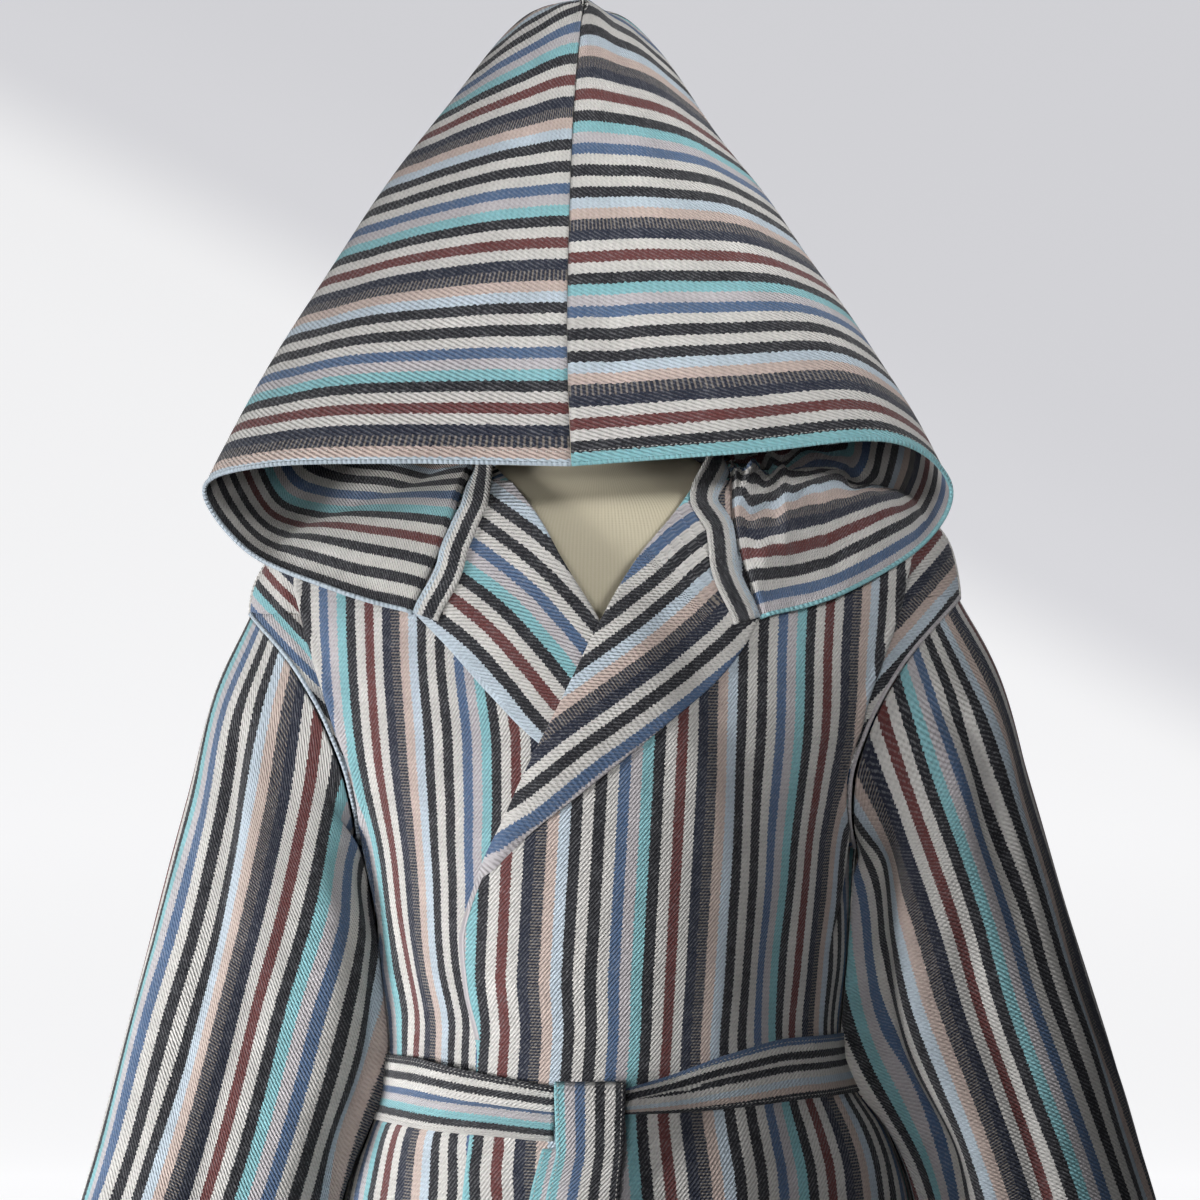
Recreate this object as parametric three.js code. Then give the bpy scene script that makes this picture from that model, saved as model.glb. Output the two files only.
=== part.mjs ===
// Hooded wrap bathrobe worn by a limbless dress form on a round stand.
// Millimetres, +Z up, the robe faces -Y, its wearer's right is at -X. The floor is z = 0.
import * as THREE from "three";

// ---- Driving dimensions
const WALL = 1.4; // robe cloth
const SASH_WALL = 2.4; // the sash is sewn double
const SEAM_GAP = 0.3;
const LAYER_GAP = 1.6; // between cloth plies that lie on each other
const WRAP_LIFT = 6.8; // how far the over front stands off the under one
const WRAP_TOP = { full: 1392, gone: 1425 }; // heights between which that lift fades
const WRAP_REACH = { full: 8, gone: 53 }; // and the distances past the under front's edge
const BELT_REACH = { left: [138, 178], right: [98, 152] }; // the same lift under the sash, by x
const HEM_Z = 340;
const NECK_Z = 1497;
const TAPE_WIDTH = 20;

const ARMHOLE_HALF_DEPTH = 70;
const UNDERARM_Z = 1222;
const SHOULDER_TIP_Z = { right: 1390, left: 1402 };

const FORM_BOTTOM_Z = 790;
const FORM_TOP_Z = 1558;
const CAP = { radius: 60, height: 9, bevel: 3 };
const ROD = { x: -12, y: -17, radius: 6 };
const FINIAL_RADIUS = 15;
const FINIAL_TOP_Z = 1834;
const POLE_RADIUS = 16;
const BASE = { radius: 240, height: 18, bevel: 5 };

const RIGHT = -1; // the wearer's right, at -X
const LEFT = 1;
const DEGREE = Math.PI / 180;

// ---- Tables: one row a section, smooth between rows
// Half widths and depths of the robe's inner face, round the vertical axis.
const BODY = table(["z", "right", "left", "front", "back"], [
  [340, 262, 285, 215, 205],
  [600, 234, 260, 186, 175],
  [800, 210, 241, 162, 152],
  [963, 187, 224, 140, 131],
  [1016, 167, 206, 131, 121],
  [1048, 156, 183, 126, 114],
  [1075, 155, 173, 125, 112],
  [1133, 161, 178, 129, 115],
  [1172, 165, 181, 132, 118],
  [1222, 176, 185, 135, 121],
  [1270, 204, 202, 134, 123],
  [1310, 230, 226, 131, 124],
  [1350, 247, 247, 125, 123],
  [1390, 254, 260, 116, 118],
  [1402, 253, 261, 112, 115],
  [1430, 240, 257, 103, 108],
  [1450, 205, 248, 95, 102],
  [1470, 157, 205, 85, 93],
  [1485, 116, 146, 75, 83],
  [1497, 88, 90, 64, 73],
]);

// Front edges: the under front (wearer's right) and the over front (wearer's left).
const UNDER_EDGE = table(["z", "x"], [
  [340, 88], [1100, 86], [1200, 80], [1270, 60], [1330, 31], [1385, 0],
  [1428, -26], [1458, -43], [1480, -60], [1497, -76],
]);
const OVER_EDGE = table(["z", "x"], [
  [340, -96], [963, -94], [1079, -83], [1128, -93], [1161, -95], [1185, -90], [1205, -83],
  [1239, -68], [1286, -48], [1333, -25], [1385, 0], [1428, 25], [1462, 53], [1497, 78],
]);

// The fold where each front turns in towards the armhole.
const ARM_FOLD = table(["z", "right", "left"], [
  [340, 245, 262], [1100, 148, 160], [1216, 168, 176], [1287, 181, 182], [1320, 191, 187],
  [1358, 203, 200], [1390, 212, 212], [1415, 218, 218], [1430, 212, 222], [1450, 181, 212],
  [1470, 139, 175], [1485, 103, 124], [1497, 84, 84],
]);
// The step down behind the fold: its depth, and the heights between which it comes and goes.
const ARM_FOLD_STEP = { depth: 9, from: 1130, full: 1240, fading: 1400, gone: 1440 };

// Neckline seam, where the hood and the lapels meet: share of its length from the chest to the
// nape, and its angle from the side of the neck (front is negative).
const NECKLINE = {
  right: table(["share", "angle", "z"], [
    [0, -59, 1391], [0.15, -62, 1425], [0.3, -56, 1462], [0.45, -35, 1487], [0.55, -14, 1496],
    [0.7, 22, NECK_Z], [0.85, 55, NECK_Z], [1, 90, NECK_Z],
  ]),
  left: table(["share", "angle", "z"], [
    [0, -64.5, 1388], [0.15, -68, 1428], [0.3, -67, 1466], [0.45, -46, 1488], [0.55, -18, 1496],
    [0.7, 22, NECK_Z], [0.85, 55, NECK_Z], [1, 90, NECK_Z],
  ]),
};

// Free outer edges of the lapels, below the chest end of the neckline seam.
const LAPEL_EDGE = {
  right: table(["z", "x"], [
    [1262, 22], [1275, 0], [1301, -43], [1337, -80], [1368, -108], [1390, -130],
  ]),
  left: table(["z", "x"], [
    [1207, -79], [1213, -73], [1226, -62], [1244, -43], [1268, -12], [1295, 22], [1322, 55],
    [1346, 84], [1372, 104], [1388, 112],
  ]),
};

// Soft folds of the body: angle at the top and the bottom, height range, half width and
// depth of each (a negative depth is a trough). Angles run from the wearer's left side.
const FOLD_COLUMNS = ["topAngle", "bottomAngle", "topZ", "bottomZ", "width", "depth"];
const FOLDS = records(FOLD_COLUMNS, [
  [-152, -146, 1200, 1060, 7, -5],
  [-128, -126, 1180, 1050, 8, -4],
  [-46, -52, 1210, 1060, 8, -6],
  [-24, -30, 1200, 1080, 7, -5],
  [-166, -164, 1010, HEM_Z, 9, -12],
  [-150, -146, 1000, HEM_Z, 9, 9],
  [-131, -126, 1010, HEM_Z, 8, -9],
  [-66, -68, 1000, HEM_Z, 9, -10],
  [-48, -50, 990, HEM_Z, 9, 9],
  [-30, -30, 1010, HEM_Z, 9, -12],
  [-12, -12, 990, HEM_Z, 9, 8],
  [28, 30, 1010, HEM_Z, 11, -11],
  [52, 56, 990, HEM_Z, 11, 9],
  [80, 82, 1010, HEM_Z, 11, -11],
  [106, 104, 990, HEM_Z, 11, 9],
  [132, 128, 1010, HEM_Z, 11, -11],
  [154, 152, 990, HEM_Z, 10, 8],
  [40, 46, 1230, 1080, 10, -6],
  [92, 90, 1300, 1080, 12, -5],
  [138, 132, 1230, 1080, 10, -6],
]);
const FOLD_FADE = 90;

// Sleeve sections: the outer and the inner point of each, and its half depth.
const SLEEVE_COLUMNS = ["outerX", "outerZ", "innerX", "innerZ", "halfDepth", "middleY"];
const SLEEVES = {
  right: records(SLEEVE_COLUMNS, [
    [279, 1335, 186, 1190, 67, 0],
    [300, 1255, 172, 1135, 66, -2],
    [324, 1165, 168, 1062, 63, -4],
    [346, 1078, 194, 985, 61, -7],
    [368, 992, 207, 912, 59, -10],
    [392, 902, 221, 846, 57, -13],
  ]),
  left: records(SLEEVE_COLUMNS, [
    [289, 1348, 192, 1190, 67, 0],
    [314, 1262, 188, 1132, 66, -2],
    [342, 1165, 195, 1062, 63, -4],
    [369, 1080, 233, 988, 60, -7],
    [394, 995, 248, 915, 57, -10],
    [420, 905, 266, 850, 55, -13],
  ]),
};

// Hood halves: rows from the rim to the back seam, points from the centre seam round the side to
// the neck, whose last point the neckline seam gives.
const HOOD_SEAM_BACK = [
  [-11, -36, 1833], [-11, -28, 1836], [-10, -12, 1834], [-9, 10, 1825], [-5, 68, 1746], [-2, 106, 1622],
];
const HOOD_SHARES = [0, 0.22, 0.45, 0.7, 0.88, 1]; // where each row meets the neckline seam
const HOOD = {
  right: [
    [
      [-20, -150, 1495], [-143, -143, 1497], [-240, -104, 1495],
      [-283, -54, 1480], [-252, -46, 1436], [-188, -92, 1409],
    ],
    [
      [-23, -122, 1580], [-120, -112, 1579], [-203, -76, 1571],
      [-246, -12, 1556], [-226, 28, 1490], [-152, -22, 1486],
    ],
    [
      [-22, -92, 1662], [-92, -82, 1665], [-148, -48, 1668],
      [-177, 8, 1670], [-165, 60, 1592], [-126, 55, 1532],
    ],
    [
      [-19, -64, 1748], [-60, -54, 1755], [-95, -26, 1760],
      [-113, 16, 1757], [-102, 68, 1680], [-76, 94, 1592],
    ],
    [
      [-14, -44, 1812], [-34, -38, 1823], [-50, -16, 1824],
      [-57, 14, 1815], [-48, 66, 1738], [-36, 101, 1617],
    ],
    HOOD_SEAM_BACK,
  ],
  left: [
    [
      [-20, -150, 1495], [100, -143, 1504], [204, -106, 1513],
      [250, -56, 1484], [233, -60, 1444], [172, -100, 1407],
    ],
    [
      [-23, -122, 1580], [76, -114, 1583], [164, -78, 1584],
      [214, -12, 1556], [205, 28, 1500], [150, -22, 1499],
    ],
    [
      [-22, -92, 1662], [50, -84, 1668], [110, -50, 1671],
      [140, 8, 1665], [138, 60, 1592], [112, 55, 1537],
    ],
    [
      [-19, -64, 1748], [22, -55, 1755], [56, -26, 1759],
      [74, 16, 1756], [76, 68, 1680], [62, 94, 1594],
    ],
    [
      [-14, -44, 1812], [4, -38, 1820], [19, -16, 1820],
      [26, 14, 1812], [30, 66, 1736], [28, 101, 1617],
    ],
    HOOD_SEAM_BACK,
  ],
};

// Sash: lower and upper edge by angle, from the knot round the back to the knot.
const SASH = table(["angle", "bottom", "top"], [
  [-84, 1045, 1058], [-75, 1044, 1067], [-60, 1045, 1082], [-42, 1047, 1091], [-15, 1044, 1088],
  [30, 1032, 1078], [90, 1026, 1072], [150, 1024, 1070], [180, 1024, 1071], [215, 1026, 1075],
  [240, 1026, 1068], [258, 1024, 1061],
]);
const KNOT = { left: -31, right: 17, top: 1065, bottom: 1019, depth: 17 };
const TAILS = {
  over: table(["z", "left", "right", "standoff"], [
    [652, -52, 4, 4.2], [800, -50, 5, 4.2], [900, -44, 9, 4.8], [981, -38, 13, 7.5], [1018.5, -30, 16, 10],
  ]),
  under: table(["z", "left", "right", "standoff"], [
    [690, -68, -14, 0.9], [820, -64, -9, 0.9], [981, -49, 2, 0.9], [1018.5, -40, 8, 0.9],
  ]),
};

// Dress form sections, and the heights that its rings stand at.
const FORM = table(["z", "side", "front", "back"], [
  [790, 146, 92, 106], [850, 160, 108, 113], [930, 156, 107, 110], [1040, 130, 94, 88],
  [1130, 140, 100, 96], [1230, 154, 112, 104], [1310, 170, 110, 108], [1380, 185, 98, 104],
  [1425, 188, 88, 97], [1448, 181, 84, 92], [1462, 166.5, 80, 87], [1470, 153.5, 77, 84],
  [1478, 132, 73, 80], [1487, 107.5, 68, 75], [1497, 80, 61, 67], [1508, 64, 57, 60],
  [1522, 57, 54, 55], [1558, 56, 54, 54],
]);
const FORM_ROWS = [
  FORM_BOTTOM_Z, 800, 860, 940, 1030, 1120, 1220, 1310, 1380, 1425, 1446, 1462, 1474, 1487, 1497, 1508,
  1522, FORM_TOP_Z,
];

// ---- Small tools
function records(columns, rows) {
  return rows.map((row) => Object.fromEntries(columns.map((column, i) => [column, row[i]])));
}

// A table as one smooth function a column, of the first column.
function table(columns, rows) {
  const keys = rows.map((row) => row[0]);
  const result = { first: keys[0], last: keys.at(-1) };
  columns.slice(1).forEach((column, i) => {
    result[column] = smooth(keys, rows.map((row) => row[i + 1]));
  });
  return result;
}

// Cubic curve through the values that never overshoots them.
function smooth(keys, values) {
  const rise = values.slice(1).map((value, i) => (value - values[i]) / (keys[i + 1] - keys[i]));
  const slopes = values.map((_, i) => {
    const before = rise[i - 1] ?? rise[i];
    const after = rise[i] ?? rise[i - 1];
    return before * after > 0 ? (2 * before * after) / (before + after) : 0;
  });
  return (key) => {
    const k = THREE.MathUtils.clamp(key, keys[0], keys.at(-1));
    const i = Math.min(keys.findLastIndex((start) => start <= k), keys.length - 2);
    const step = keys[i + 1] - keys[i];
    const t = (k - keys[i]) / step;
    const drop = (1 - t) * (1 - t);
    const grow = t * t;
    return (
      values[i] * (1 + 2 * t) * drop + values[i + 1] * (3 - 2 * t) * grow
      + step * (slopes[i] * t * drop - slopes[i + 1] * (1 - t) * grow)
    );
  };
}

const between = (from, to, t) => from + (to - from) * t;
const steps = (count) => Array.from({ length: count + 1 }, (_, i) => i / count);
const spread = (from, to, count) => steps(count).map((t) => between(from, to, t));
const nameOf = (side) => (side === RIGHT ? "right" : "left");

// ---- The robe's body surface
// Angle 0 is the wearer's left side, -90 degrees the front and 90 degrees the back.
function bodyRing(angle, z, raise) {
  const width = Math.cos(angle) > 0 ? BODY.left(z) : BODY.right(z);
  const depth = Math.sin(angle) < 0 ? BODY.front(z) : BODY.back(z);
  const across = Math.cos(angle);
  const along = Math.sin(angle);
  const out = new THREE.Vector2(across / width, along / depth).normalize();
  return new THREE.Vector3(width * across + out.x * raise, depth * along + out.y * raise, z);
}

function frontAngle(x, z) {
  const width = x > 0 ? BODY.left(z) : BODY.right(z);
  return -Math.acos(THREE.MathUtils.clamp(x / width, -1, 1));
}

function fold(angle, z) {
  const degrees = angle / DEGREE;
  let sum = 0;
  for (const f of FOLDS) {
    const along = THREE.MathUtils.clamp((f.topZ - z) / (f.topZ - f.bottomZ), 0, 1);
    const away = (degrees - between(f.topAngle, f.bottomAngle, along)) / f.width;
    const fadeIn = THREE.MathUtils.smoothstep(f.topZ - z, 0, FOLD_FADE);
    const fadeOut = f.bottomZ === HEM_Z ? 1 : THREE.MathUtils.smoothstep(z - f.bottomZ, 0, FOLD_FADE);
    sum += f.depth * Math.exp(-away * away) * fadeIn * fadeOut;
  }
  return sum;
}

// How far the over front stands off the body where the under front lies beneath it.
function wrapLift(x, z) {
  const below = 1 - THREE.MathUtils.smoothstep(z, WRAP_TOP.full, WRAP_TOP.gone);
  const past = THREE.MathUtils.smoothstep(x - UNDER_EDGE.x(z), WRAP_REACH.full, WRAP_REACH.gone);
  return WRAP_LIFT * below * (1 - past);
}

function foldStep(z) {
  const step = ARM_FOLD_STEP;
  const risen = THREE.MathUtils.smoothstep(z, step.from, step.full);
  return step.depth * risen * (1 - THREE.MathUtils.smoothstep(z, step.fading, step.gone));
}

function frontPoint(side, angle, z, tuck = 0) {
  const plain = bodyRing(angle, z, 0);
  const lift = side === LEFT ? wrapLift(plain.x, z) : 0;
  return bodyRing(angle, z, lift + fold(angle, z) - tuck * foldStep(z));
}

// ---- Shells
// A thin closed wall on a grid of points: rows run down, columns run round, and the wall lies
// from `from` to `to` along the normals. `turned` swaps the side that the normals point to.
function shell(grid, { from = 0, to = WALL, closed = false, turned = false } = {}) {
  const rows = grid.length;
  const columns = grid[0].length;
  const normals = grid.map((row, i) => row.map((_, j) => normalAt(grid, i, j, closed, turned)));
  const moved = (amount) => (p, k) => p.clone().addScaledVector(normals.flat()[k], amount);
  const points = [...grid.flat().map(moved(from)), ...grid.flat().map(moved(to))];
  const at = (layer, i, j) => layer * rows * columns + i * columns + (j % columns);
  const faces = [];
  const quad = (a, b, c, d) => faces.push(a, b, c, a, c, d);
  const spans = closed ? columns : columns - 1;
  for (let i = 0; i < rows - 1; i += 1) {
    for (let j = 0; j < spans; j += 1) {
      quad(at(0, i, j), at(0, i, j + 1), at(0, i + 1, j + 1), at(0, i + 1, j));
      quad(at(1, i, j), at(1, i + 1, j), at(1, i + 1, j + 1), at(1, i, j + 1));
    }
  }
  const foot = rows - 1;
  for (let j = 0; j < spans; j += 1) {
    quad(at(0, 0, j), at(1, 0, j), at(1, 0, j + 1), at(0, 0, j + 1));
    quad(at(0, foot, j), at(0, foot, j + 1), at(1, foot, j + 1), at(1, foot, j));
  }
  const end = columns - 1;
  for (let i = 0; i < rows - 1 && !closed; i += 1) {
    quad(at(0, i, 0), at(0, i + 1, 0), at(1, i + 1, 0), at(1, i, 0));
    quad(at(0, i, end), at(1, i, end), at(1, i + 1, end), at(0, i + 1, end));
  }
  return solid(points, faces);
}

function normalAt(grid, i, j, closed, turned) {
  const columns = grid[0].length;
  const up = grid[Math.max(i - 1, 0)][j];
  const down = grid[Math.min(i + 1, grid.length - 1)][j];
  const before = closed ? grid[i][(j + columns - 1) % columns] : grid[i][Math.max(j - 1, 0)];
  const after = closed ? grid[i][(j + 1) % columns] : grid[i][Math.min(j + 1, columns - 1)];
  const normal = down.clone().sub(up).cross(after.clone().sub(before)).normalize();
  return turned ? normal.negate() : normal;
}

// A solid body from rings that share one point count, with flat ends.
function loft(rings) {
  const count = rings[0].length;
  const points = rings.flat();
  const faces = [];
  for (let i = 0; i < rings.length - 1; i += 1) {
    for (let j = 0; j < count; j += 1) {
      const next = (j + 1) % count;
      const a = i * count;
      const b = a + count;
      faces.push(a + j, a + next, b + next, a + j, b + next, b + j);
    }
  }
  const end = (rings.length - 1) * count;
  for (let j = 1; j < count - 1; j += 1) {
    faces.push(0, j + 1, j, end, end + j, end + j + 1);
  }
  return solid(points, faces);
}

// Indexed geometry with its faces turned outwards.
function solid(points, faces) {
  let volume = 0;
  for (let k = 0; k < faces.length; k += 3) {
    const [a, b, c] = [points[faces[k]], points[faces[k + 1]], points[faces[k + 2]]];
    volume += a.dot(b.clone().cross(c));
  }
  const positions = new THREE.Float32BufferAttribute(points.flatMap((p) => p.toArray()), 3);
  const geometry = new THREE.BufferGeometry();
  geometry.setAttribute("position", positions);
  geometry.setIndex(volume < 0 ? faces.toReversed() : faces);
  geometry.computeVertexNormals();
  return geometry;
}

// ---- Robe panels
// Heights of a panel's rows: shoulder, armhole (closer near its ends), then down to the hem.
const SHOULDER_ROWS = [NECK_Z, 1485, 1470, 1450, 1430];
const ARMHOLE_SPANS = 8;
const SKIRT_ROWS = [
  1190, 1155, 1120, 1095, 1076, 1060, 1045, 1030, 1014, 985, 945, 880, 790, 690, 575, 460, HEM_Z,
];
const FRONT_SPANS = 12; // from the front edge to the arm fold
const BACK_SPANS = 18;

function panelHeights(side) {
  const tip = between(SHOULDER_TIP_Z[nameOf(side)], SHOULDER_ROWS.at(-1), 0.4);
  const armhole = steps(ARMHOLE_SPANS).map((t) => armholeHeight(side, t * Math.PI));
  return [...SHOULDER_ROWS, tip, ...armhole, ...SKIRT_ROWS];
}

function armholeHeight(side, turn) {
  const top = SHOULDER_TIP_Z[nameOf(side)];
  return between(UNDERARM_Z, top, (1 + Math.cos(turn)) / 2);
}

// Angle from the side at which a panel ends: at the side or shoulder seam, or at the armhole.
function sideAngle(side, z, depth, margin) {
  const top = SHOULDER_TIP_Z[nameOf(side)];
  const turn = Math.acos(THREE.MathUtils.clamp((2 * z - top - UNDERARM_Z) / (top - UNDERARM_Z), -1, 1));
  const armhole = Math.asin((ARMHOLE_HALF_DEPTH * Math.sin(turn)) / depth);
  return Math.max(armhole, margin / depth);
}

const SIDE_MARGIN = SEAM_GAP / 2;

// Behind the arm fold: share of the way to the seam, and share of the fold's full depth.
const TUCK = [[0.16, 0.9], [0.4, 1], [0.7, 0.5], [1, 0]];
const LEAST_TUCK_ANGLE = 0.05;

function frontPanel(side) {
  const edge = side === LEFT ? OVER_EDGE : UNDER_EDGE;
  const rows = panelHeights(side).map((z) => {
    const inner = frontAngle(edge.x(z), z);
    const reach = sideAngle(side, z, BODY.front(z), SIDE_MARGIN);
    const outer = side === LEFT ? -reach : -Math.PI + reach;
    const nearest = outer - side * LEAST_TUCK_ANGLE;
    const folded = frontAngle(side * ARM_FOLD[nameOf(side)](z), z);
    const turnIn = side === LEFT ? Math.min(folded, nearest) : Math.max(folded, nearest);
    const flat = spread(inner, turnIn, FRONT_SPANS).map((angle) => frontPoint(side, angle, z));
    const tucked = TUCK.map(([t, depth]) => frontPoint(side, between(turnIn, outer, t), z, depth));
    return side === LEFT ? [...flat, ...tucked] : [...flat, ...tucked].reverse();
  });
  return shell(rows);
}

function backPanel() {
  const rightHeights = panelHeights(RIGHT);
  const rows = panelHeights(LEFT).map((leftZ, i) => {
    const rightZ = rightHeights[i];
    const start = sideAngle(LEFT, leftZ, BODY.back(leftZ), SIDE_MARGIN);
    const end = Math.PI - sideAngle(RIGHT, rightZ, BODY.back(rightZ), SIDE_MARGIN);
    return steps(BACK_SPANS).map((t) => {
      const angle = between(start, end, t);
      const z = between(leftZ, rightZ, t);
      return bodyRing(angle, z, fold(angle, z));
    });
  });
  return shell(rows);
}

// ---- Sleeves
const SLEEVE_TURNS = 22;
const SLEEVE_ROWS = [0, 0.05, 0.11, 0.18, 0.26, 0.35, 0.45, 0.56, 0.67, 0.78, 0.89, 1];
const UNDERARM = { lift: 3.6, from: -0.2, full: 0.9 }; // there the sleeve stands outside the body's wall
const ARMHOLE_INSET = { all: 2 * SEAM_GAP, top: 0.5 * WALL, side: 1.4 * WALL };

function armholePoint(side, turn) {
  const top = SHOULDER_TIP_Z[nameOf(side)];
  const middle = (top + UNDERARM_Z) / 2;
  const halfHeight = (top - UNDERARM_Z) / 2 - ARMHOLE_INSET.all - ARMHOLE_INSET.top;
  const halfDepth = ARMHOLE_HALF_DEPTH - ARMHOLE_INSET.all - ARMHOLE_INSET.side * Math.abs(Math.sin(turn));
  const z = middle + halfHeight * Math.cos(turn);
  const y = side * halfDepth * Math.sin(turn);
  const depth = y < 0 ? BODY.front(z) : BODY.back(z);
  const angle = Math.asin(y / depth);
  const lift = UNDERARM.lift * THREE.MathUtils.smoothstep(-Math.cos(turn), UNDERARM.from, UNDERARM.full);
  return bodyRing(side === LEFT ? angle : Math.PI - angle, z, lift);
}

function sleeveRing(side, section) {
  const outer = new THREE.Vector3(side * section.outerX, section.middleY, section.outerZ);
  const inner = new THREE.Vector3(side * section.innerX, section.middleY, section.innerZ);
  const middle = outer.clone().add(inner).multiplyScalar(0.5);
  const reach = outer.clone().sub(middle);
  return (turn) => {
    const p = middle.clone().addScaledVector(reach, Math.cos(turn));
    p.y += side * section.halfDepth * Math.sin(turn);
    return p;
  };
}

function sleeve(side) {
  const rings = SLEEVES[nameOf(side)].map((section) => sleeveRing(side, section));
  const turns = steps(SLEEVE_TURNS).slice(0, -1).map((t) => t * 2 * Math.PI);
  const lines = turns.map((turn) => {
    const points = [armholePoint(side, turn), ...rings.map((ring) => ring(turn))];
    return new THREE.CatmullRomCurve3(points, false, "centripetal");
  });
  return shell(SLEEVE_ROWS.map((t) => lines.map((line) => line.getPoint(t))), { closed: true });
}

// ---- Hood, lapels and neck tape
const LAPEL_FROM = WALL + LAYER_GAP;
const LAPEL_TO = LAPEL_FROM + WALL;
const TAPE_FROM = LAPEL_TO + 1.1;
const TAPE_SETBACK = 4; // behind the neck the tape stands inside the hood
const TAPE_RISE = { from: 0.3, full: 0.6 }; // shares between which it turns upright
const TAPE_SPANS = 15;
const TAPE_INSET = 0.5;
const HOOD_CLEARANCE = 8.5;
const HOOD_END_CLEARANCE = 4.2;
const HOOD_ROWS = [0, 0.05, 0.12, 0.2, 0.28, 0.36, 0.44, 0.52, 0.6, 0.68, 0.76, 0.84, 0.92, 1];
const HOOD_SPANS = 19;
const HOOD_CROWDING = 0.25; // how much closer the columns are near the neck
const LAPEL_TOP_SHARE = 0.42;
const LAPEL_SETBACK = 0.012;
const PROBE = { angle: 0.02, drop: 4, share: 0.03 }; // small steps that give a direction

function outOfBody(side, angle, z) {
  const here = frontPoint(side, angle, z);
  const round = frontPoint(side, angle + PROBE.angle, z).sub(here);
  const down = frontPoint(side, angle, z - PROBE.drop).sub(here);
  return down.cross(round).normalize();
}

function necklinePoint(side, share, height) {
  const line = NECKLINE[nameOf(side)];
  const fromSide = line.angle(share) * DEGREE;
  const z = line.z(share);
  const angle = side === LEFT ? fromSide : Math.PI - fromSide;
  return frontPoint(side, angle, z).addScaledVector(outOfBody(side, angle, z), height);
}

function hoodHalf(side) {
  const curve = (points) => new THREE.CatmullRomCurve3(points, false, "catmullrom", 0.5);
  const rowCurves = HOOD[nameOf(side)].map((row, i) => {
    const points = row.map(([x, y, z]) => new THREE.Vector3(x, y, z));
    return curve([...points, necklinePoint(side, HOOD_SHARES[i], LAPEL_TO)]);
  });
  const across = steps(HOOD_SPANS).map((t) => t * (1 + HOOD_CROWDING * (1 - t)));
  const lines = across.map((t) => curve(rowCurves.map((row) => row.getPoint(t))));
  const grid = HOOD_ROWS.map((t) => lines.map((line) => line.getPoint(t)));
  for (const row of grid) {
    row.slice(0, -1).forEach((p) => clearOfBody(p, HOOD_CLEARANCE));
    clearOfBody(row.at(-1), HOOD_END_CLEARANCE);
    row[0].x += side * SIDE_MARGIN;
  }
  for (const p of grid.at(-1)) {
    p.x += side * SIDE_MARGIN;
  }
  return shell(grid, { turned: side === LEFT });
}

// Moves a point that is too near the body straight off it.
function clearOfBody(p, clearance) {
  const level = (x, y, z) => {
    const width = x > 0 ? BODY.left(z) : BODY.right(z);
    const depth = y < 0 ? BODY.front(z) : BODY.back(z);
    return Math.hypot(x / width, y / depth) - 1;
  };
  for (let tries = 0; tries < 8; tries += 1) {
    const here = level(p.x, p.y, p.z);
    const slope = new THREE.Vector3(
      level(p.x + 1, p.y, p.z) - here,
      level(p.x, p.y + 1, p.z) - here,
      level(p.x, p.y, p.z + 1) - here,
    );
    const distance = here / slope.length();
    if (distance >= clearance || p.z > NECK_Z + clearance) return;
    p.addScaledVector(slope.normalize(), clearance - distance);
  }
}

function lapel(side) {
  const edge = side === LEFT ? OVER_EDGE : UNDER_EDGE;
  const free = LAPEL_EDGE[nameOf(side)];
  const line = NECKLINE[nameOf(side)];
  const top = line.z(LAPEL_TOP_SHARE);
  const heights = [...spread(top, line.z(0), 7), ...spread(line.z(0), free.first, 11).slice(1)];
  const rows = heights.map((z) => {
    const inner = frontAngle(edge.x(z), z);
    const outer = z > line.z(0) ? seamAngle(side, z) : frontAngle(free.x(z), z);
    const angles = spread(inner, between(outer, inner, LAPEL_SETBACK), 4);
    const points = angles.map((angle) => frontPoint(side, angle, z));
    return side === LEFT ? points : points.reverse();
  });
  return shell(rows, { from: LAPEL_FROM, to: LAPEL_TO });
}

// Angle of the neckline seam at a height on the front.
function seamAngle(side, z) {
  const line = NECKLINE[nameOf(side)];
  let low = 0;
  let high = 0.5;
  for (let tries = 0; tries < 20; tries += 1) {
    const middle = (low + high) / 2;
    if (line.z(middle) < z) low = middle;
    else high = middle;
  }
  const fromSide = line.angle(low) * DEGREE;
  return side === LEFT ? fromSide : -Math.PI - fromSide;
}

// The tape lies on the lapel's end on the chest and stands up inside the hood behind the neck.
function neckTape() {
  const halfLine = (side) => steps(TAPE_SPANS).map((share) => tapePair(side, share));
  const right = halfLine(RIGHT);
  const left = halfLine(LEFT).reverse();
  return shell([...right, ...left.slice(1)], { from: 0, to: WALL, turned: true });
}

function tapePair(side, share) {
  const seam = necklinePoint(side, share, TAPE_FROM);
  const next = necklinePoint(side, Math.min(share + PROBE.share, 1), TAPE_FROM);
  const before = necklinePoint(side, Math.max(share - PROBE.share, 0), TAPE_FROM);
  const line = NECKLINE[nameOf(side)];
  const fromSide = line.angle(share) * DEGREE;
  const angle = side === LEFT ? fromSide : Math.PI - fromSide;
  const out = outOfBody(side, angle, line.z(share));
  const inward = next.sub(before).normalize().cross(out).multiplyScalar(-side).normalize();
  const rise = THREE.MathUtils.smoothstep(share, TAPE_RISE.from, TAPE_RISE.full);
  const direction = inward.lerp(new THREE.Vector3(0, 0, 1), rise).normalize();
  const axis = new THREE.Vector3(-seam.x, -seam.y, 0).normalize();
  const start = seam.addScaledVector(direction, TAPE_INSET).addScaledVector(axis, TAPE_SETBACK * rise);
  return [start, start.clone().addScaledVector(direction, TAPE_WIDTH)];
}

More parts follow.
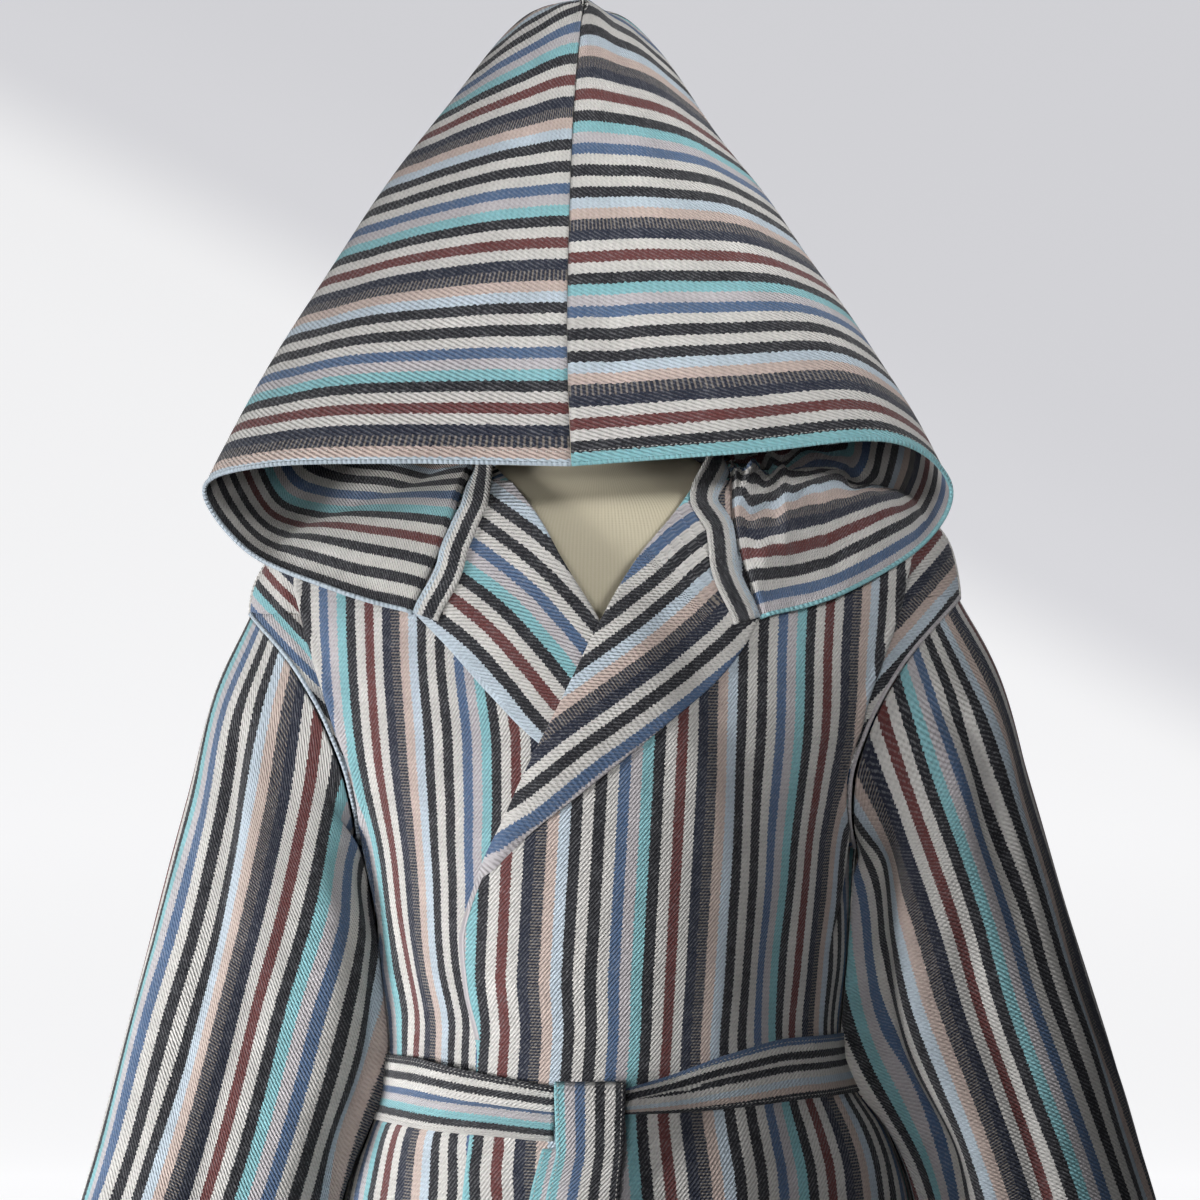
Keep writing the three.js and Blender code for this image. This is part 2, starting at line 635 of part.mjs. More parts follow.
// ---- Sash
const SASH_GAP = 1.4;
const SASH_SPANS = 44;
const SASH_END_GAP = 1.5; // between the wrap's ends and the knot's sides
const KNOT_GAP = 0.6;
const KNOT_INSET = 4;
const KNOT_SQUARENESS = 0.7;

function sashLift(x) {
  const toRight = THREE.MathUtils.smoothstep(-x, ...BELT_REACH.right);
  const toLeft = THREE.MathUtils.smoothstep(x, ...BELT_REACH.left);
  return WRAP_LIFT * (1 - toRight) * (1 - toLeft);
}

function sashWrap() {
  const start = frontAngle(KNOT.right - SASH_END_GAP, SASH.top(SASH.first));
  const end = 2 * Math.PI + frontAngle(KNOT.left + SASH_END_GAP, SASH.top(SASH.last));
  const columns = spread(start, end, SASH_SPANS);
  const rows = steps(3).map((t) => columns.map((angle) => {
    const z = between(SASH.top(angle / DEGREE), SASH.bottom(angle / DEGREE), t);
    const plain = bodyRing(angle, z, 0);
    const lift = Math.sin(angle) < 0 ? sashLift(plain.x) : 0;
    return bodyRing(angle, z, lift);
  }));
  return shell(rows, { from: WALL + SASH_GAP, to: WALL + SASH_GAP + SASH_WALL });
}

function sashKnot() {
  const middleZ = (KNOT.top + KNOT.bottom) / 2;
  const halfHeight = (KNOT.top - KNOT.bottom) / 2;
  const back = BODY.front(middleZ) + WRAP_LIFT + WALL + SASH_GAP + SASH_WALL + KNOT_GAP;
  const round = (value) => Math.sign(value) * Math.abs(value) ** KNOT_SQUARENESS;
  const section = (x, scale) => steps(18).slice(0, -1).map((t) => {
    const turn = t * 2 * Math.PI;
    const y = -(back + KNOT.depth / 2) - (scale * KNOT.depth / 2) * round(Math.cos(turn));
    return new THREE.Vector3(x, y, middleZ + scale * halfHeight * round(Math.sin(turn)));
  });
  const endScale = 0.88;
  return loft([
    section(KNOT.left, endScale),
    section(KNOT.left + KNOT_INSET, 1),
    section(KNOT.right - KNOT_INSET, 1),
    section(KNOT.right, endScale),
  ]);
}

function sashTail(tail) {
  const out = new THREE.Vector3(0, -1, 0);
  const heights = spread(tail.last, tail.first, 14);
  const rows = heights.map((z) => spread(tail.left(z), tail.right(z), 4).map((x) => {
    const behind = frontPoint(LEFT, frontAngle(x, z), z);
    return behind.addScaledVector(out, WALL + tail.standoff(z));
  }));
  return shell(rows, { to: SASH_WALL });
}

// ---- Dress form and stand
function formRing(z) {
  return steps(28).slice(0, -1).map((t) => {
    const angle = t * 2 * Math.PI;
    const depth = Math.sin(angle) < 0 ? FORM.front(z) : FORM.back(z);
    return new THREE.Vector3(FORM.side(z) * Math.cos(angle), depth * Math.sin(angle), z);
  });
}

function formTorso() {
  return loft(FORM_ROWS.map(formRing));
}

function turned(profile, segments) {
  const points = profile.map(([radius, z]) => new THREE.Vector2(radius, z));
  return new THREE.LatheGeometry(points, segments).rotateX(Math.PI / 2);
}

function capGeometry() {
  const { radius, height, bevel } = CAP;
  return turned([
    [0, 0], [radius - bevel, 0], [radius, bevel], [radius, height - bevel], [radius - bevel, height],
    [0, height],
  ], 28);
}

function baseGeometry() {
  return turned([
    [0, 0], [BASE.radius, 0], [BASE.radius, BASE.height - BASE.bevel],
    [BASE.radius - BASE.bevel, BASE.height], [0, BASE.height],
  ], 48);
}

function cylinder(radius, bottom, top, segments) {
  return turned([[0, bottom], [radius, bottom], [radius, top], [0, top]], segments);
}

function finialGeometry() {
  const ball = steps(8).slice(1, -1).map((t) => t * Math.PI);
  const arc = ball.map((turn) => [FINIAL_RADIUS * Math.sin(turn), -FINIAL_RADIUS * Math.cos(turn)]);
  return turned([[0, -FINIAL_RADIUS], ...arc, [0, FINIAL_RADIUS]], 14);
}

// ---- Materials
const cloth = () => new THREE.MeshStandardMaterial({ color: 0x8d94a3, roughness: 0.9, metalness: 0 });
const jersey = () => new THREE.MeshStandardMaterial({ color: 0xcfc6a8, roughness: 0.85, metalness: 0 });
const steel = () => new THREE.MeshStandardMaterial({ color: 0xc9ccd0, roughness: 0.3, metalness: 1 });

// ---- The model
const model = new THREE.Group();

function add(name, geometry, material, place = [0, 0, 0]) {
  const mesh = new THREE.Mesh(geometry, material);
  mesh.name = name;
  mesh.position.set(...place);
  model.add(mesh);
}

add("front_right", frontPanel(RIGHT), cloth());
add("front_left", frontPanel(LEFT), cloth());
add("back", backPanel(), cloth());
add("sleeve_right", sleeve(RIGHT), cloth());
add("sleeve_left", sleeve(LEFT), cloth());
add("hood_right", hoodHalf(RIGHT), cloth());
add("hood_left", hoodHalf(LEFT), cloth());
add("lapel_right", lapel(RIGHT), cloth());
add("lapel_left", lapel(LEFT), cloth());
add("neck_tape", neckTape(), cloth());
add("belt_wrap", sashWrap(), cloth());
add("belt_knot", sashKnot(), cloth());
add("belt_tail_over", sashTail(TAILS.over), cloth());
add("belt_tail_under", sashTail(TAILS.under), cloth());

add("form_torso", formTorso(), jersey());
add("form_neck_cap", capGeometry(), steel(), [0, 0, FORM_TOP_Z + SEAM_GAP]);
const rodBottom = FORM_TOP_Z + CAP.height + 2 * SEAM_GAP;
const rodTop = FINIAL_TOP_Z - 2 * FINIAL_RADIUS - SEAM_GAP;
add("hood_rod", cylinder(ROD.radius, rodBottom, rodTop, 20), steel(), [ROD.x, ROD.y, 0]);
add("hood_finial", finialGeometry(), steel(), [ROD.x, ROD.y, FINIAL_TOP_Z - FINIAL_RADIUS]);
const poleTop = FORM_BOTTOM_Z - SEAM_GAP;
add("stand_pole", cylinder(POLE_RADIUS, BASE.height + SEAM_GAP, poleTop, 32), steel());
add("stand_base", baseGeometry(), steel());

export default model;
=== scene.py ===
"""Hooded wrap bathrobe on a dress form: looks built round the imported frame.

Tables and surfaces are in millimetres, in the frame's axes: +Z up, the robe faces -Y and the
wearer's right is -X. Meshes are written in metres.
"""
import math

import bpy
import numpy as np
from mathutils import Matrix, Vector


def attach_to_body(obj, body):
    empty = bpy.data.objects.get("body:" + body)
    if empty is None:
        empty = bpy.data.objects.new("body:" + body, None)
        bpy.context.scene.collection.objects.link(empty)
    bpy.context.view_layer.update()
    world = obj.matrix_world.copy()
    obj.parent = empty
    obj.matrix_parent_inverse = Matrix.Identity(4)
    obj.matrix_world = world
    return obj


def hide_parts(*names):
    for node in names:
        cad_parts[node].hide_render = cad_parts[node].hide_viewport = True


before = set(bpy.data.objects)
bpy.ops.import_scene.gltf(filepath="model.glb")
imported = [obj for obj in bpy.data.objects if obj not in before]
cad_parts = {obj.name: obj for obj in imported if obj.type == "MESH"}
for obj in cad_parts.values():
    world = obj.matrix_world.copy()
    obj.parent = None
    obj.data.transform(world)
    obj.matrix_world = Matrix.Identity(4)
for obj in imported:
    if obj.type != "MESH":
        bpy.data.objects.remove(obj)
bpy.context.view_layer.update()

MM = 0.001
DEG = math.pi / 180
RIGHT, LEFT = -1, 1
SIDES = {RIGHT: "right", LEFT: "left"}

# ---- Sizes shared with the solids
WALL = 1.4
SASH_WALL = 2.4
SEAM_GAP = 0.3
LAYER_GAP = 1.6
WRAP_LIFT = 6.8
HEM_Z = 340
NECK_Z = 1497
TAPE_WIDTH = 20
SASH_WIDTH = 46
TAIL_WIDTH = 50
ARMHOLE_HALF_DEPTH = 70
UNDERARM_Z = 1222
SHOULDER_TIP_Z = {RIGHT: 1390, LEFT: 1402}
LAPEL_FROM = WALL + LAYER_GAP
LAPEL_TO = LAPEL_FROM + WALL
TAPE_FROM = LAPEL_TO + 1.1
TAPE_SETBACK = 4
HOOD_CLEARANCE = 8.5
HOOD_END_CLEARANCE = 4.2
SASH_GAP = 1.4

# ---- Sizes of the looks
ROLL_PITCH, ROLL_SIDES = 4.0, 8
STITCH_PITCH, STITCH_LENGTH, THREAD_RADIUS = 3.3, 2.3, 0.42
SHOULDER_ROWS, ARMHOLE_ROWS, SKIRT_ROWS = 34, 56, 152  # of a panel, from the neck to the hem


# ---- Small tools
def smooth(keys, values):
    """Cubic through the values that never overshoots them."""
    k = np.asarray(keys, float)
    v = np.asarray(values, float)
    rise = np.diff(v) / np.diff(k)
    before = np.concatenate([rise[:1], rise])
    after = np.concatenate([rise, rise[-1:]])
    same = before * after > 0
    total = np.where(same, before + after, 1.0)
    slope = np.where(same, 2 * before * after / total, 0.0)

    def at(key):
        x = np.clip(np.asarray(key, float), k[0], k[-1])
        i = np.clip(np.searchsorted(k, x, side="right") - 1, 0, len(k) - 2)
        step = k[i + 1] - k[i]
        t = (x - k[i]) / step
        drop, grow = (1 - t) ** 2, t * t
        return (v[i] * (1 + 2 * t) * drop + v[i + 1] * (3 - 2 * t) * grow
                + step * (slope[i] * t * drop - slope[i + 1] * (1 - t) * grow))

    return at


class Table:
    """Rows with named columns; each column after the first is a smooth function of the first."""

    def __init__(self, columns, rows):
        keys = [row[0] for row in rows]
        self.first, self.last = keys[0], keys[-1]
        for i, column in enumerate(columns[1:], 1):
            setattr(self, column, smooth(keys, [row[i] for row in rows]))

    def on(self, side):
        return getattr(self, SIDES[side])


def smoothstep(x, low, high):
    t = np.clip((np.asarray(x, float) - low) / (high - low), 0, 1)
    return t * t * (3 - 2 * t)


def mix(a, b, t):
    return a + (b - a) * t


def unit(vectors):
    return vectors / np.linalg.norm(vectors, axis=-1, keepdims=True)


def closed_round(grid):
    """The grid with its first column again at the end."""
    return np.concatenate([grid, grid[:, :1]], 1)


def catmull(points, ts, centripetal=False):
    """Curves through points (count, ..., 3), at shares ts of their spans."""
    count = len(points)
    out = []
    for t in ts:
        seg = min(int(t * (count - 1)), count - 2)
        w = t * (count - 1) - seg
        p1, p2 = points[seg], points[seg + 1]
        p0 = points[seg - 1] if seg > 0 else 2 * p1 - p2
        p3 = points[seg + 2] if seg + 2 < count else 2 * p2 - p1
        if centripetal:
            gap = [np.maximum(np.linalg.norm(b - a, axis=-1, keepdims=True), 1e-4) ** 0.5
                   for a, b in ((p0, p1), (p1, p2), (p2, p3))]
            m1 = ((p1 - p0) / gap[0] - (p2 - p0) / (gap[0] + gap[1]) + (p2 - p1) / gap[1]) * gap[1]
            m2 = ((p2 - p1) / gap[1] - (p3 - p1) / (gap[1] + gap[2]) + (p3 - p2) / gap[2]) * gap[1]
        else:
            m1, m2 = (p2 - p0) / 2, (p3 - p1) / 2
        out.append(p1 + w * m1 + w * w * (-3 * p1 + 3 * p2 - 2 * m1 - m2)
                   + w ** 3 * (2 * p1 - 2 * p2 + m1 + m2))
    return np.array(out)


def normals_of(grid, closed=False):
    wrapped = np.concatenate([grid[:, -1:], grid, grid[:, :1]], 1) if closed else grid
    across = np.gradient(wrapped, axis=1)
    n = np.cross(np.gradient(grid, axis=0), across[:, 1:-1] if closed else across)
    return n / np.maximum(np.linalg.norm(n, axis=-1, keepdims=True), 1e-9)


def run_along(grid, axis):
    """Length along a grid's rows (axis 1) or columns (axis 0), from the first point."""
    step = np.linalg.norm(np.diff(grid, axis=axis), axis=-1)
    pad = [(0, 0), (0, 0)]
    pad[axis] = (1, 0)
    return np.pad(np.cumsum(step, axis=axis), pad)


def ripple(a, b, seed, size):
    """Small uneven waves of two coordinates, -1 to 1, a wave about size long."""
    rng = np.random.default_rng(seed)
    out = 0
    for _ in range(7):
        turn = rng.uniform(0, math.pi)
        wave = size * rng.uniform(0.7, 1.6)
        out = out + np.sin((a * math.cos(turn) + b * math.sin(turn)) * 2 * math.pi / wave
                           + rng.uniform(0, 6.3))
    return out / 7


# ---- The robe's tables, as in the solids
BODY = Table(["z", "right", "left", "front", "back"], [
    [340, 262, 285, 215, 205], [600, 234, 260, 186, 175], [800, 210, 241, 162, 152],
    [963, 187, 224, 140, 131], [1016, 167, 206, 131, 121], [1048, 156, 183, 126, 114],
    [1075, 155, 173, 125, 112], [1133, 161, 178, 129, 115], [1172, 165, 181, 132, 118],
    [1222, 176, 185, 135, 121], [1270, 204, 202, 134, 123], [1310, 230, 226, 131, 124],
    [1350, 247, 247, 125, 123], [1390, 254, 260, 116, 118], [1402, 253, 261, 112, 115],
    [1430, 240, 257, 103, 108], [1450, 205, 248, 95, 102], [1470, 157, 205, 85, 93],
    [1485, 116, 146, 75, 83], [1497, 88, 90, 64, 73],
])
UNDER_EDGE = Table(["z", "x"], [
    [340, 88], [1100, 86], [1200, 80], [1270, 60], [1330, 31], [1385, 0],
    [1428, -26], [1458, -43], [1480, -60], [1497, -76],
])
OVER_EDGE = Table(["z", "x"], [
    [340, -96], [963, -94], [1079, -83], [1128, -93], [1161, -95], [1185, -90], [1205, -83],
    [1239, -68], [1286, -48], [1333, -25], [1385, 0], [1428, 25], [1462, 53], [1497, 78],
])
ARM_FOLD = Table(["z", "right", "left"], [
    [340, 245, 262], [1100, 148, 160], [1216, 168, 176], [1287, 181, 182], [1320, 191, 187],
    [1358, 203, 200], [1390, 212, 212], [1415, 218, 218], [1430, 212, 222], [1450, 181, 212],
    [1470, 139, 175], [1485, 103, 124], [1497, 84, 84],
])
EDGE = {RIGHT: UNDER_EDGE, LEFT: OVER_EDGE}
NECKLINE = {
    RIGHT: Table(["share", "angle", "z"], [
        [0, -59, 1391], [0.15, -62, 1425], [0.3, -56, 1462], [0.45, -35, 1487],
        [0.55, -14, 1496], [0.7, 22, NECK_Z], [0.85, 55, NECK_Z], [1, 90, NECK_Z],
    ]),
    LEFT: Table(["share", "angle", "z"], [
        [0, -64.5, 1388], [0.15, -68, 1428], [0.3, -67, 1466], [0.45, -46, 1488],
        [0.55, -18, 1496], [0.7, 22, NECK_Z], [0.85, 55, NECK_Z], [1, 90, NECK_Z],
    ]),
}
LAPEL_EDGE = {
    RIGHT: Table(["z", "x"], [
        [1262, 22], [1275, 0], [1301, -43], [1337, -80], [1368, -108], [1390, -130],
    ]),
    LEFT: Table(["z", "x"], [
        [1207, -79], [1213, -73], [1226, -62], [1244, -43], [1268, -12], [1295, 22], [1322, 55],
        [1346, 84], [1372, 104], [1388, 112],
    ]),
}
# angle at the top and bottom, height range, half width, depth (negative is a trough)
FOLDS = [
    (-152, -146, 1200, 1060, 7, -5), (-128, -126, 1180, 1050, 8, -4),
    (-46, -52, 1210, 1060, 8, -6), (-24, -30, 1200, 1080, 7, -5),
    (-166, -164, 1010, HEM_Z, 9, -12), (-150, -146, 1000, HEM_Z, 9, 9),
    (-131, -126, 1010, HEM_Z, 8, -9), (-66, -68, 1000, HEM_Z, 9, -10),
    (-48, -50, 990, HEM_Z, 9, 9), (-30, -30, 1010, HEM_Z, 9, -12),
    (-12, -12, 990, HEM_Z, 9, 8), (28, 30, 1010, HEM_Z, 11, -11),
    (52, 56, 990, HEM_Z, 11, 9), (80, 82, 1010, HEM_Z, 11, -11),
    (106, 104, 990, HEM_Z, 11, 9), (132, 128, 1010, HEM_Z, 11, -11),
    (154, 152, 990, HEM_Z, 10, 8), (40, 46, 1230, 1080, 10, -6),
    (92, 90, 1300, 1080, 12, -5), (138, 132, 1230, 1080, 10, -6),
]
# Creases that only the looks carry: the same columns.
CREASES = [
    (-140, -139, 1150, 1058, 3.0, -2.2), (-118, -119, 1165, 1056, 3.0, -1.6),
    (-109, -108, 1130, 1056, 2.4, 1.4), (-72, -74, 1150, 1056, 3.0, -1.8),
    (-60, -64, 1190, 1056, 3.5, 1.6), (-36, -41, 1165, 1056, 3.0, -2.0),
    (-14, -19, 1180, 1060, 4.0, -2.4), (-158, -156, 1015, 820, 3.0, -2.6),
    (-140, -138, 1012, 860, 2.6, -2.0), (-76, -78, 1012, 840, 3.0, -2.2),
    (-58, -58, 1012, 800, 3.0, -2.2), (-40, -42, 1012, 780, 3.0, -2.4),
    (-22, -20, 1012, 760, 3.5, -2.4), (18, 22, 1215, 1062, 4.0, -2.4),
    (64, 66, 1190, 1060, 4.0, -2.2), (78, 80, 1330, 1120, 6.0, -2.6),
    (110, 108, 1240, 1060, 5.0, -2.4), (124, 124, 1180, 1060, 3.6, 1.8),
    (158, 154, 1200, 1060, 4.0, -2.4), (10, 14, 1015, 740, 4.0, -2.6),
    (42, 44, 1015, 800, 3.4, -2.4), (66, 70, 1012, 760, 4.0, -2.2),
    (94, 94, 1015, 820, 3.4, -2.4), (118, 116, 1012, 760, 4.0, -2.4),
    (146, 142, 1015, 800, 3.6, -2.4), (168, 166, 1010, 760, 4.0, -2.4),
]
FOLD_FADE = 90
SKIRT_FADE = 300
SLEEVES = {  # outer x, outer z, inner x, inner z, half depth, middle y
    RIGHT: [
        (279, 1335, 186, 1190, 67, 0), (300, 1255, 172, 1135, 66, -2),
        (324, 1165, 168, 1062, 63, -4), (346, 1078, 194, 985, 61, -7),
        (368, 992, 207, 912, 59, -10), (392, 902, 221, 846, 57, -13),
    ],
    LEFT: [
        (289, 1348, 192, 1190, 67, 0), (314, 1262, 188, 1132, 66, -2),
        (342, 1165, 195, 1062, 63, -4), (369, 1080, 233, 988, 60, -7),
        (394, 995, 248, 915, 57, -10), (420, 905, 266, 850, 55, -13),
    ],
}
# Sleeve creases: turn (degrees from the outer line) at the top and the bottom, share of the
# length where it starts and ends, half width in degrees, depth.
SLEEVE_CREASES = {
    RIGHT: [
        (148, 138, 0.02, 0.8, 10, -12), (116, 114, 0.06, 1.2, 10, 4.5), (58, 66, 0.05, 0.8, 9, -6),
        (32, 36, 0.3, 1.2, 10, 4), (88, 86, 0.38, 1.2, 8, -5), (170, 168, 0.1, 1.2, 9, 4),
        (215, 210, 0.1, 1.2, 14, -6), (262, 258, 0.05, 0.9, 13, 4), (300, 300, 0.2, 1.2, 13, -5),
        (335, 338, 0.3, 1.2, 10, 3),
    ],
    LEFT: [
        (-146, -138, 0.02, 0.85, 10, -13), (-118, -118, 0.06, 1.2, 10, 5),
        (-66, -58, 0.02, 0.5, 8, -7), (-44, -40, 0.1, 0.8, 9, 4), (-88, -92, 0.3, 1.2, 9, -5),
        (-24, -22, 0.4, 1.2, 9, -3), (-172, -170, 0.1, 1.2, 9, 4), (145, 150, 0.1, 1.2, 14, -6),
        (100, 102, 0.05, 0.9, 13, 4), (60, 60, 0.2, 1.2, 13, -5), (25, 22, 0.3, 1.2, 10, 3),
    ],
}
HOOD_SEAM_BACK = [
    (-11, -36, 1833), (-11, -28, 1836), (-10, -12, 1834), (-9, 10, 1825), (-5, 68, 1746),
    (-2, 106, 1622),
]
HOOD_SHARES = [0, 0.22, 0.45, 0.7, 0.88, 1]
HOOD = {
    RIGHT: [
        [(-20, -150, 1495), (-143, -143, 1497), (-240, -104, 1495),
         (-283, -54, 1480), (-252, -46, 1436), (-188, -92, 1409)],
        [(-23, -122, 1580), (-120, -112, 1579), (-203, -76, 1571),
         (-246, -12, 1556), (-226, 28, 1490), (-152, -22, 1486)],
        [(-22, -92, 1662), (-92, -82, 1665), (-148, -48, 1668),
         (-177, 8, 1670), (-165, 60, 1592), (-126, 55, 1532)],
        [(-19, -64, 1748), (-60, -54, 1755), (-95, -26, 1760),
         (-113, 16, 1757), (-102, 68, 1680), (-76, 94, 1592)],
        [(-14, -44, 1812), (-34, -38, 1823), (-50, -16, 1824),
         (-57, 14, 1815), (-48, 66, 1738), (-36, 101, 1617)],
        HOOD_SEAM_BACK,
    ],
    LEFT: [
        [(-20, -150, 1495), (100, -143, 1504), (204, -106, 1513),
         (250, -56, 1484), (233, -60, 1444), (172, -100, 1407)],
        [(-23, -122, 1580), (76, -114, 1583), (164, -78, 1584),
         (214, -12, 1556), (205, 28, 1500), (150, -22, 1499)],
        [(-22, -92, 1662), (50, -84, 1668), (110, -50, 1671),
         (140, 8, 1665), (138, 60, 1592), (112, 55, 1537)],
        [(-19, -64, 1748), (22, -55, 1755), (56, -26, 1759),
         (74, 16, 1756), (76, 68, 1680), (62, 94, 1594)],
        [(-14, -44, 1812), (4, -38, 1820), (19, -16, 1820),
         (26, 14, 1812), (30, 66, 1736), (28, 101, 1617)],
        HOOD_SEAM_BACK,
    ],
}
SASH = Table(["angle", "bottom", "top"], [
    [-84, 1045, 1058], [-75, 1044, 1067], [-60, 1045, 1082], [-42, 1047, 1091],
    [-15, 1044, 1088], [30, 1032, 1078], [90, 1026, 1072], [150, 1024, 1070],
    [180, 1024, 1071], [215, 1026, 1075], [240, 1026, 1068], [258, 1024, 1061],
])
KNOT_LEFT, KNOT_RIGHT, KNOT_TOP, KNOT_BOTTOM, KNOT_DEPTH = -31, 17, 1065, 1019, 17
KNOT_Z = (KNOT_TOP + KNOT_BOTTOM) / 2
KNOT_BACK = float(BODY.front(KNOT_Z)) + WRAP_LIFT + WALL + SASH_GAP + SASH_WALL + 0.6
TAILS = {
    "over": Table(["z", "left", "right", "standoff"], [
        [652, -52, 4, 4.2], [800, -50, 5, 4.2], [900, -44, 9, 4.8], [981, -38, 13, 7.5],
        [1018.5, -30, 16, 10],
    ]),
    "under": Table(["z", "left", "right", "standoff"], [
        [690, -68, -14, 0.9], [820, -64, -9, 0.9], [981, -49, 2, 0.9], [1018.5, -40, 8, 0.9],
    ]),
}
FORM = Table(["z", "side", "front", "back"], [
    [790, 146, 92, 106], [850, 160, 108, 113], [930, 156, 107, 110], [1040, 130, 94, 88],
    [1130, 140, 100, 96], [1230, 154, 112, 104], [1310, 170, 110, 108], [1380, 185, 98, 104],
    [1425, 188, 88, 97], [1448, 181, 84, 92], [1462, 166.5, 80, 87], [1470, 153.5, 77, 84],
    [1478, 132, 73, 80], [1487, 107.5, 68, 75], [1497, 80, 61, 67], [1508, 64, 57, 60],
    [1522, 57, 54, 55], [1558, 56, 54, 54],
])

# ---- Cloth: the woven repeat and where it lies on each panel
REPEAT = 120.0  # mm of flat cloth, fifteen stripes of equal width
STRIPE = REPEAT / 15
# height, x of a maroon stripe's middle, width of a repeat towards the wearer's right and left
OVER_STRIPES = Table(["z", "x", "right", "left"], [
    [340, 54, 120, 120], [900, 53.5, 120, 123], [995, 47.3, 119, 124.5], [1021, 44.3, 114, 121.5],
    [1045, 42.4, 111, 117], [1095, 45.2, 111, 101], [1140, 47.3, 116, 105],
    [1296, 55.8, 116, 108.5], [1376, 60, 116, 104], [1497, 66, 116, 104],
])
UNDER_STRIPES = Table(["z", "x", "right", "left"], [
    [340, -178, 120, 118], [900, -160, 120, 118], [995, -150.7, 120, 117], [1020, -145, 115, 108],
    [1045, -131, 110, 92], [1095, -130.4, 118, 88], [1140, -137.9, 118, 92],
    [1209, -144.6, 115, 101], [1296, -157.3, 112, 105], [1366, -162.2, 110, 98],
    [1497, -166, 110, 98],
])
STRIPES = {RIGHT: UNDER_STRIPES, LEFT: OVER_STRIPES}
# Outer edges of the lapels as their stripes follow them, x and z.
LAPEL_LINE = {
    RIGHT: [(40, 1252), (22, 1262), (0, 1275), (-43, 1301), (-74, 1336), (-101, 1364), (-140, 1392),
            (-190, 1425)],
    LEFT: [(-96, 1192), (-79, 1207), (-61, 1228), (-34, 1248), (-1, 1275), (33, 1299.5),
           (66.5, 1324), (100, 1351), (120, 1369), (149, 1384), (182, 1400), (230, 1420)],
}


# ---- The robe's body surface
def body_ring(angle, z, lift):
    angle, z = np.broadcast_arrays(np.asarray(angle, float), np.asarray(z, float))
    across, along = np.cos(angle), np.sin(angle)
    width = np.where(across > 0, BODY.left(z), BODY.right(z))
    depth = np.where(along < 0, BODY.front(z), BODY.back(z))
    ox, oy = across / width, along / depth
    size = np.hypot(ox, oy)
    return np.stack([width * across + ox / size * lift, depth * along + oy / size * lift, z], -1)


def front_angle(x, z):
    width = np.where(np.asarray(x) > 0, BODY.left(z), BODY.right(z))
    return -np.arccos(np.clip(x / width, -1, 1))


def fold(angle, z, rows):
    degrees = angle / DEG
    out = 0
    for top_angle, bottom_angle, top, bottom, width, depth in rows:
        along = np.clip((top - z) / (top - bottom), 0, 1)
        away = (degrees - mix(top_angle, bottom_angle, along)) / width
        hangs = bottom == HEM_Z
        fade = smoothstep(top - z, 0, SKIRT_FADE if hangs else FOLD_FADE)
        if not hangs:
            fade = fade * smoothstep(z - bottom, 0, FOLD_FADE)
        out = out + depth * np.exp(-away * away) * fade
    return out


BODY_RIPPLE, BODY_RADIUS = 1.1, 150
SASH_Z, SASH_REACH = 1048, 30


def crease(angle, z):
    """What the looks add to the solids' folds, and nothing of it under the sash."""
    fine = fold(angle, z, CREASES)
    soft = BODY_RIPPLE * ripple(angle * BODY_RADIUS, z, 5, 150)
    held = 1 - 0.8 * smoothstep(z, 1180, 1260)
    away_from_sash = 1 - np.exp(-((z - SASH_Z) / SASH_REACH) ** 2)
    return fine + soft * held * away_from_sash


def wrap_lift(x, z):
    below = 1 - smoothstep(z, 1392, 1425)
    past = smoothstep(x - UNDER_EDGE.x(z), 8, 53)
    return WRAP_LIFT * below * (1 - past)


FOLD_STEP = 9


def fold_step(z):
    """How far the panel is tucked back behind the arm fold."""
    return FOLD_STEP * smoothstep(z, 1130, 1240) * (1 - smoothstep(z, 1400, 1440))


def front_point(side, angle, z, tuck=0.0, extra=0.0):
    plain = body_ring(angle, z, 0)
    lift = wrap_lift(plain[..., 0], z) if side == LEFT else 0
    return body_ring(angle, z, lift + fold(angle, z, FOLDS) - tuck * fold_step(z) + extra)


# ---- Meshes
def link(name, data):
    obj = bpy.data.objects.new(name, data)
    bpy.context.scene.collection.objects.link(obj)
    return obj


def shade_smooth(mesh):
    mesh.polygons.foreach_set("use_smooth", [True] * len(mesh.polygons))


def fill_layer(mesh, layer_name, uvs, corners):
    layer = mesh.uv_layers.new(name=layer_name)
    values = None
    for mask, uv in uvs:
        picked = np.stack([uv[a, b] for a, b in corners], 2)
        values = picked if mask is None else np.where(mask[..., None, None], picked, values)
    layer.data.foreach_set("uv", (values.reshape(-1) * MM).astype(np.float32))


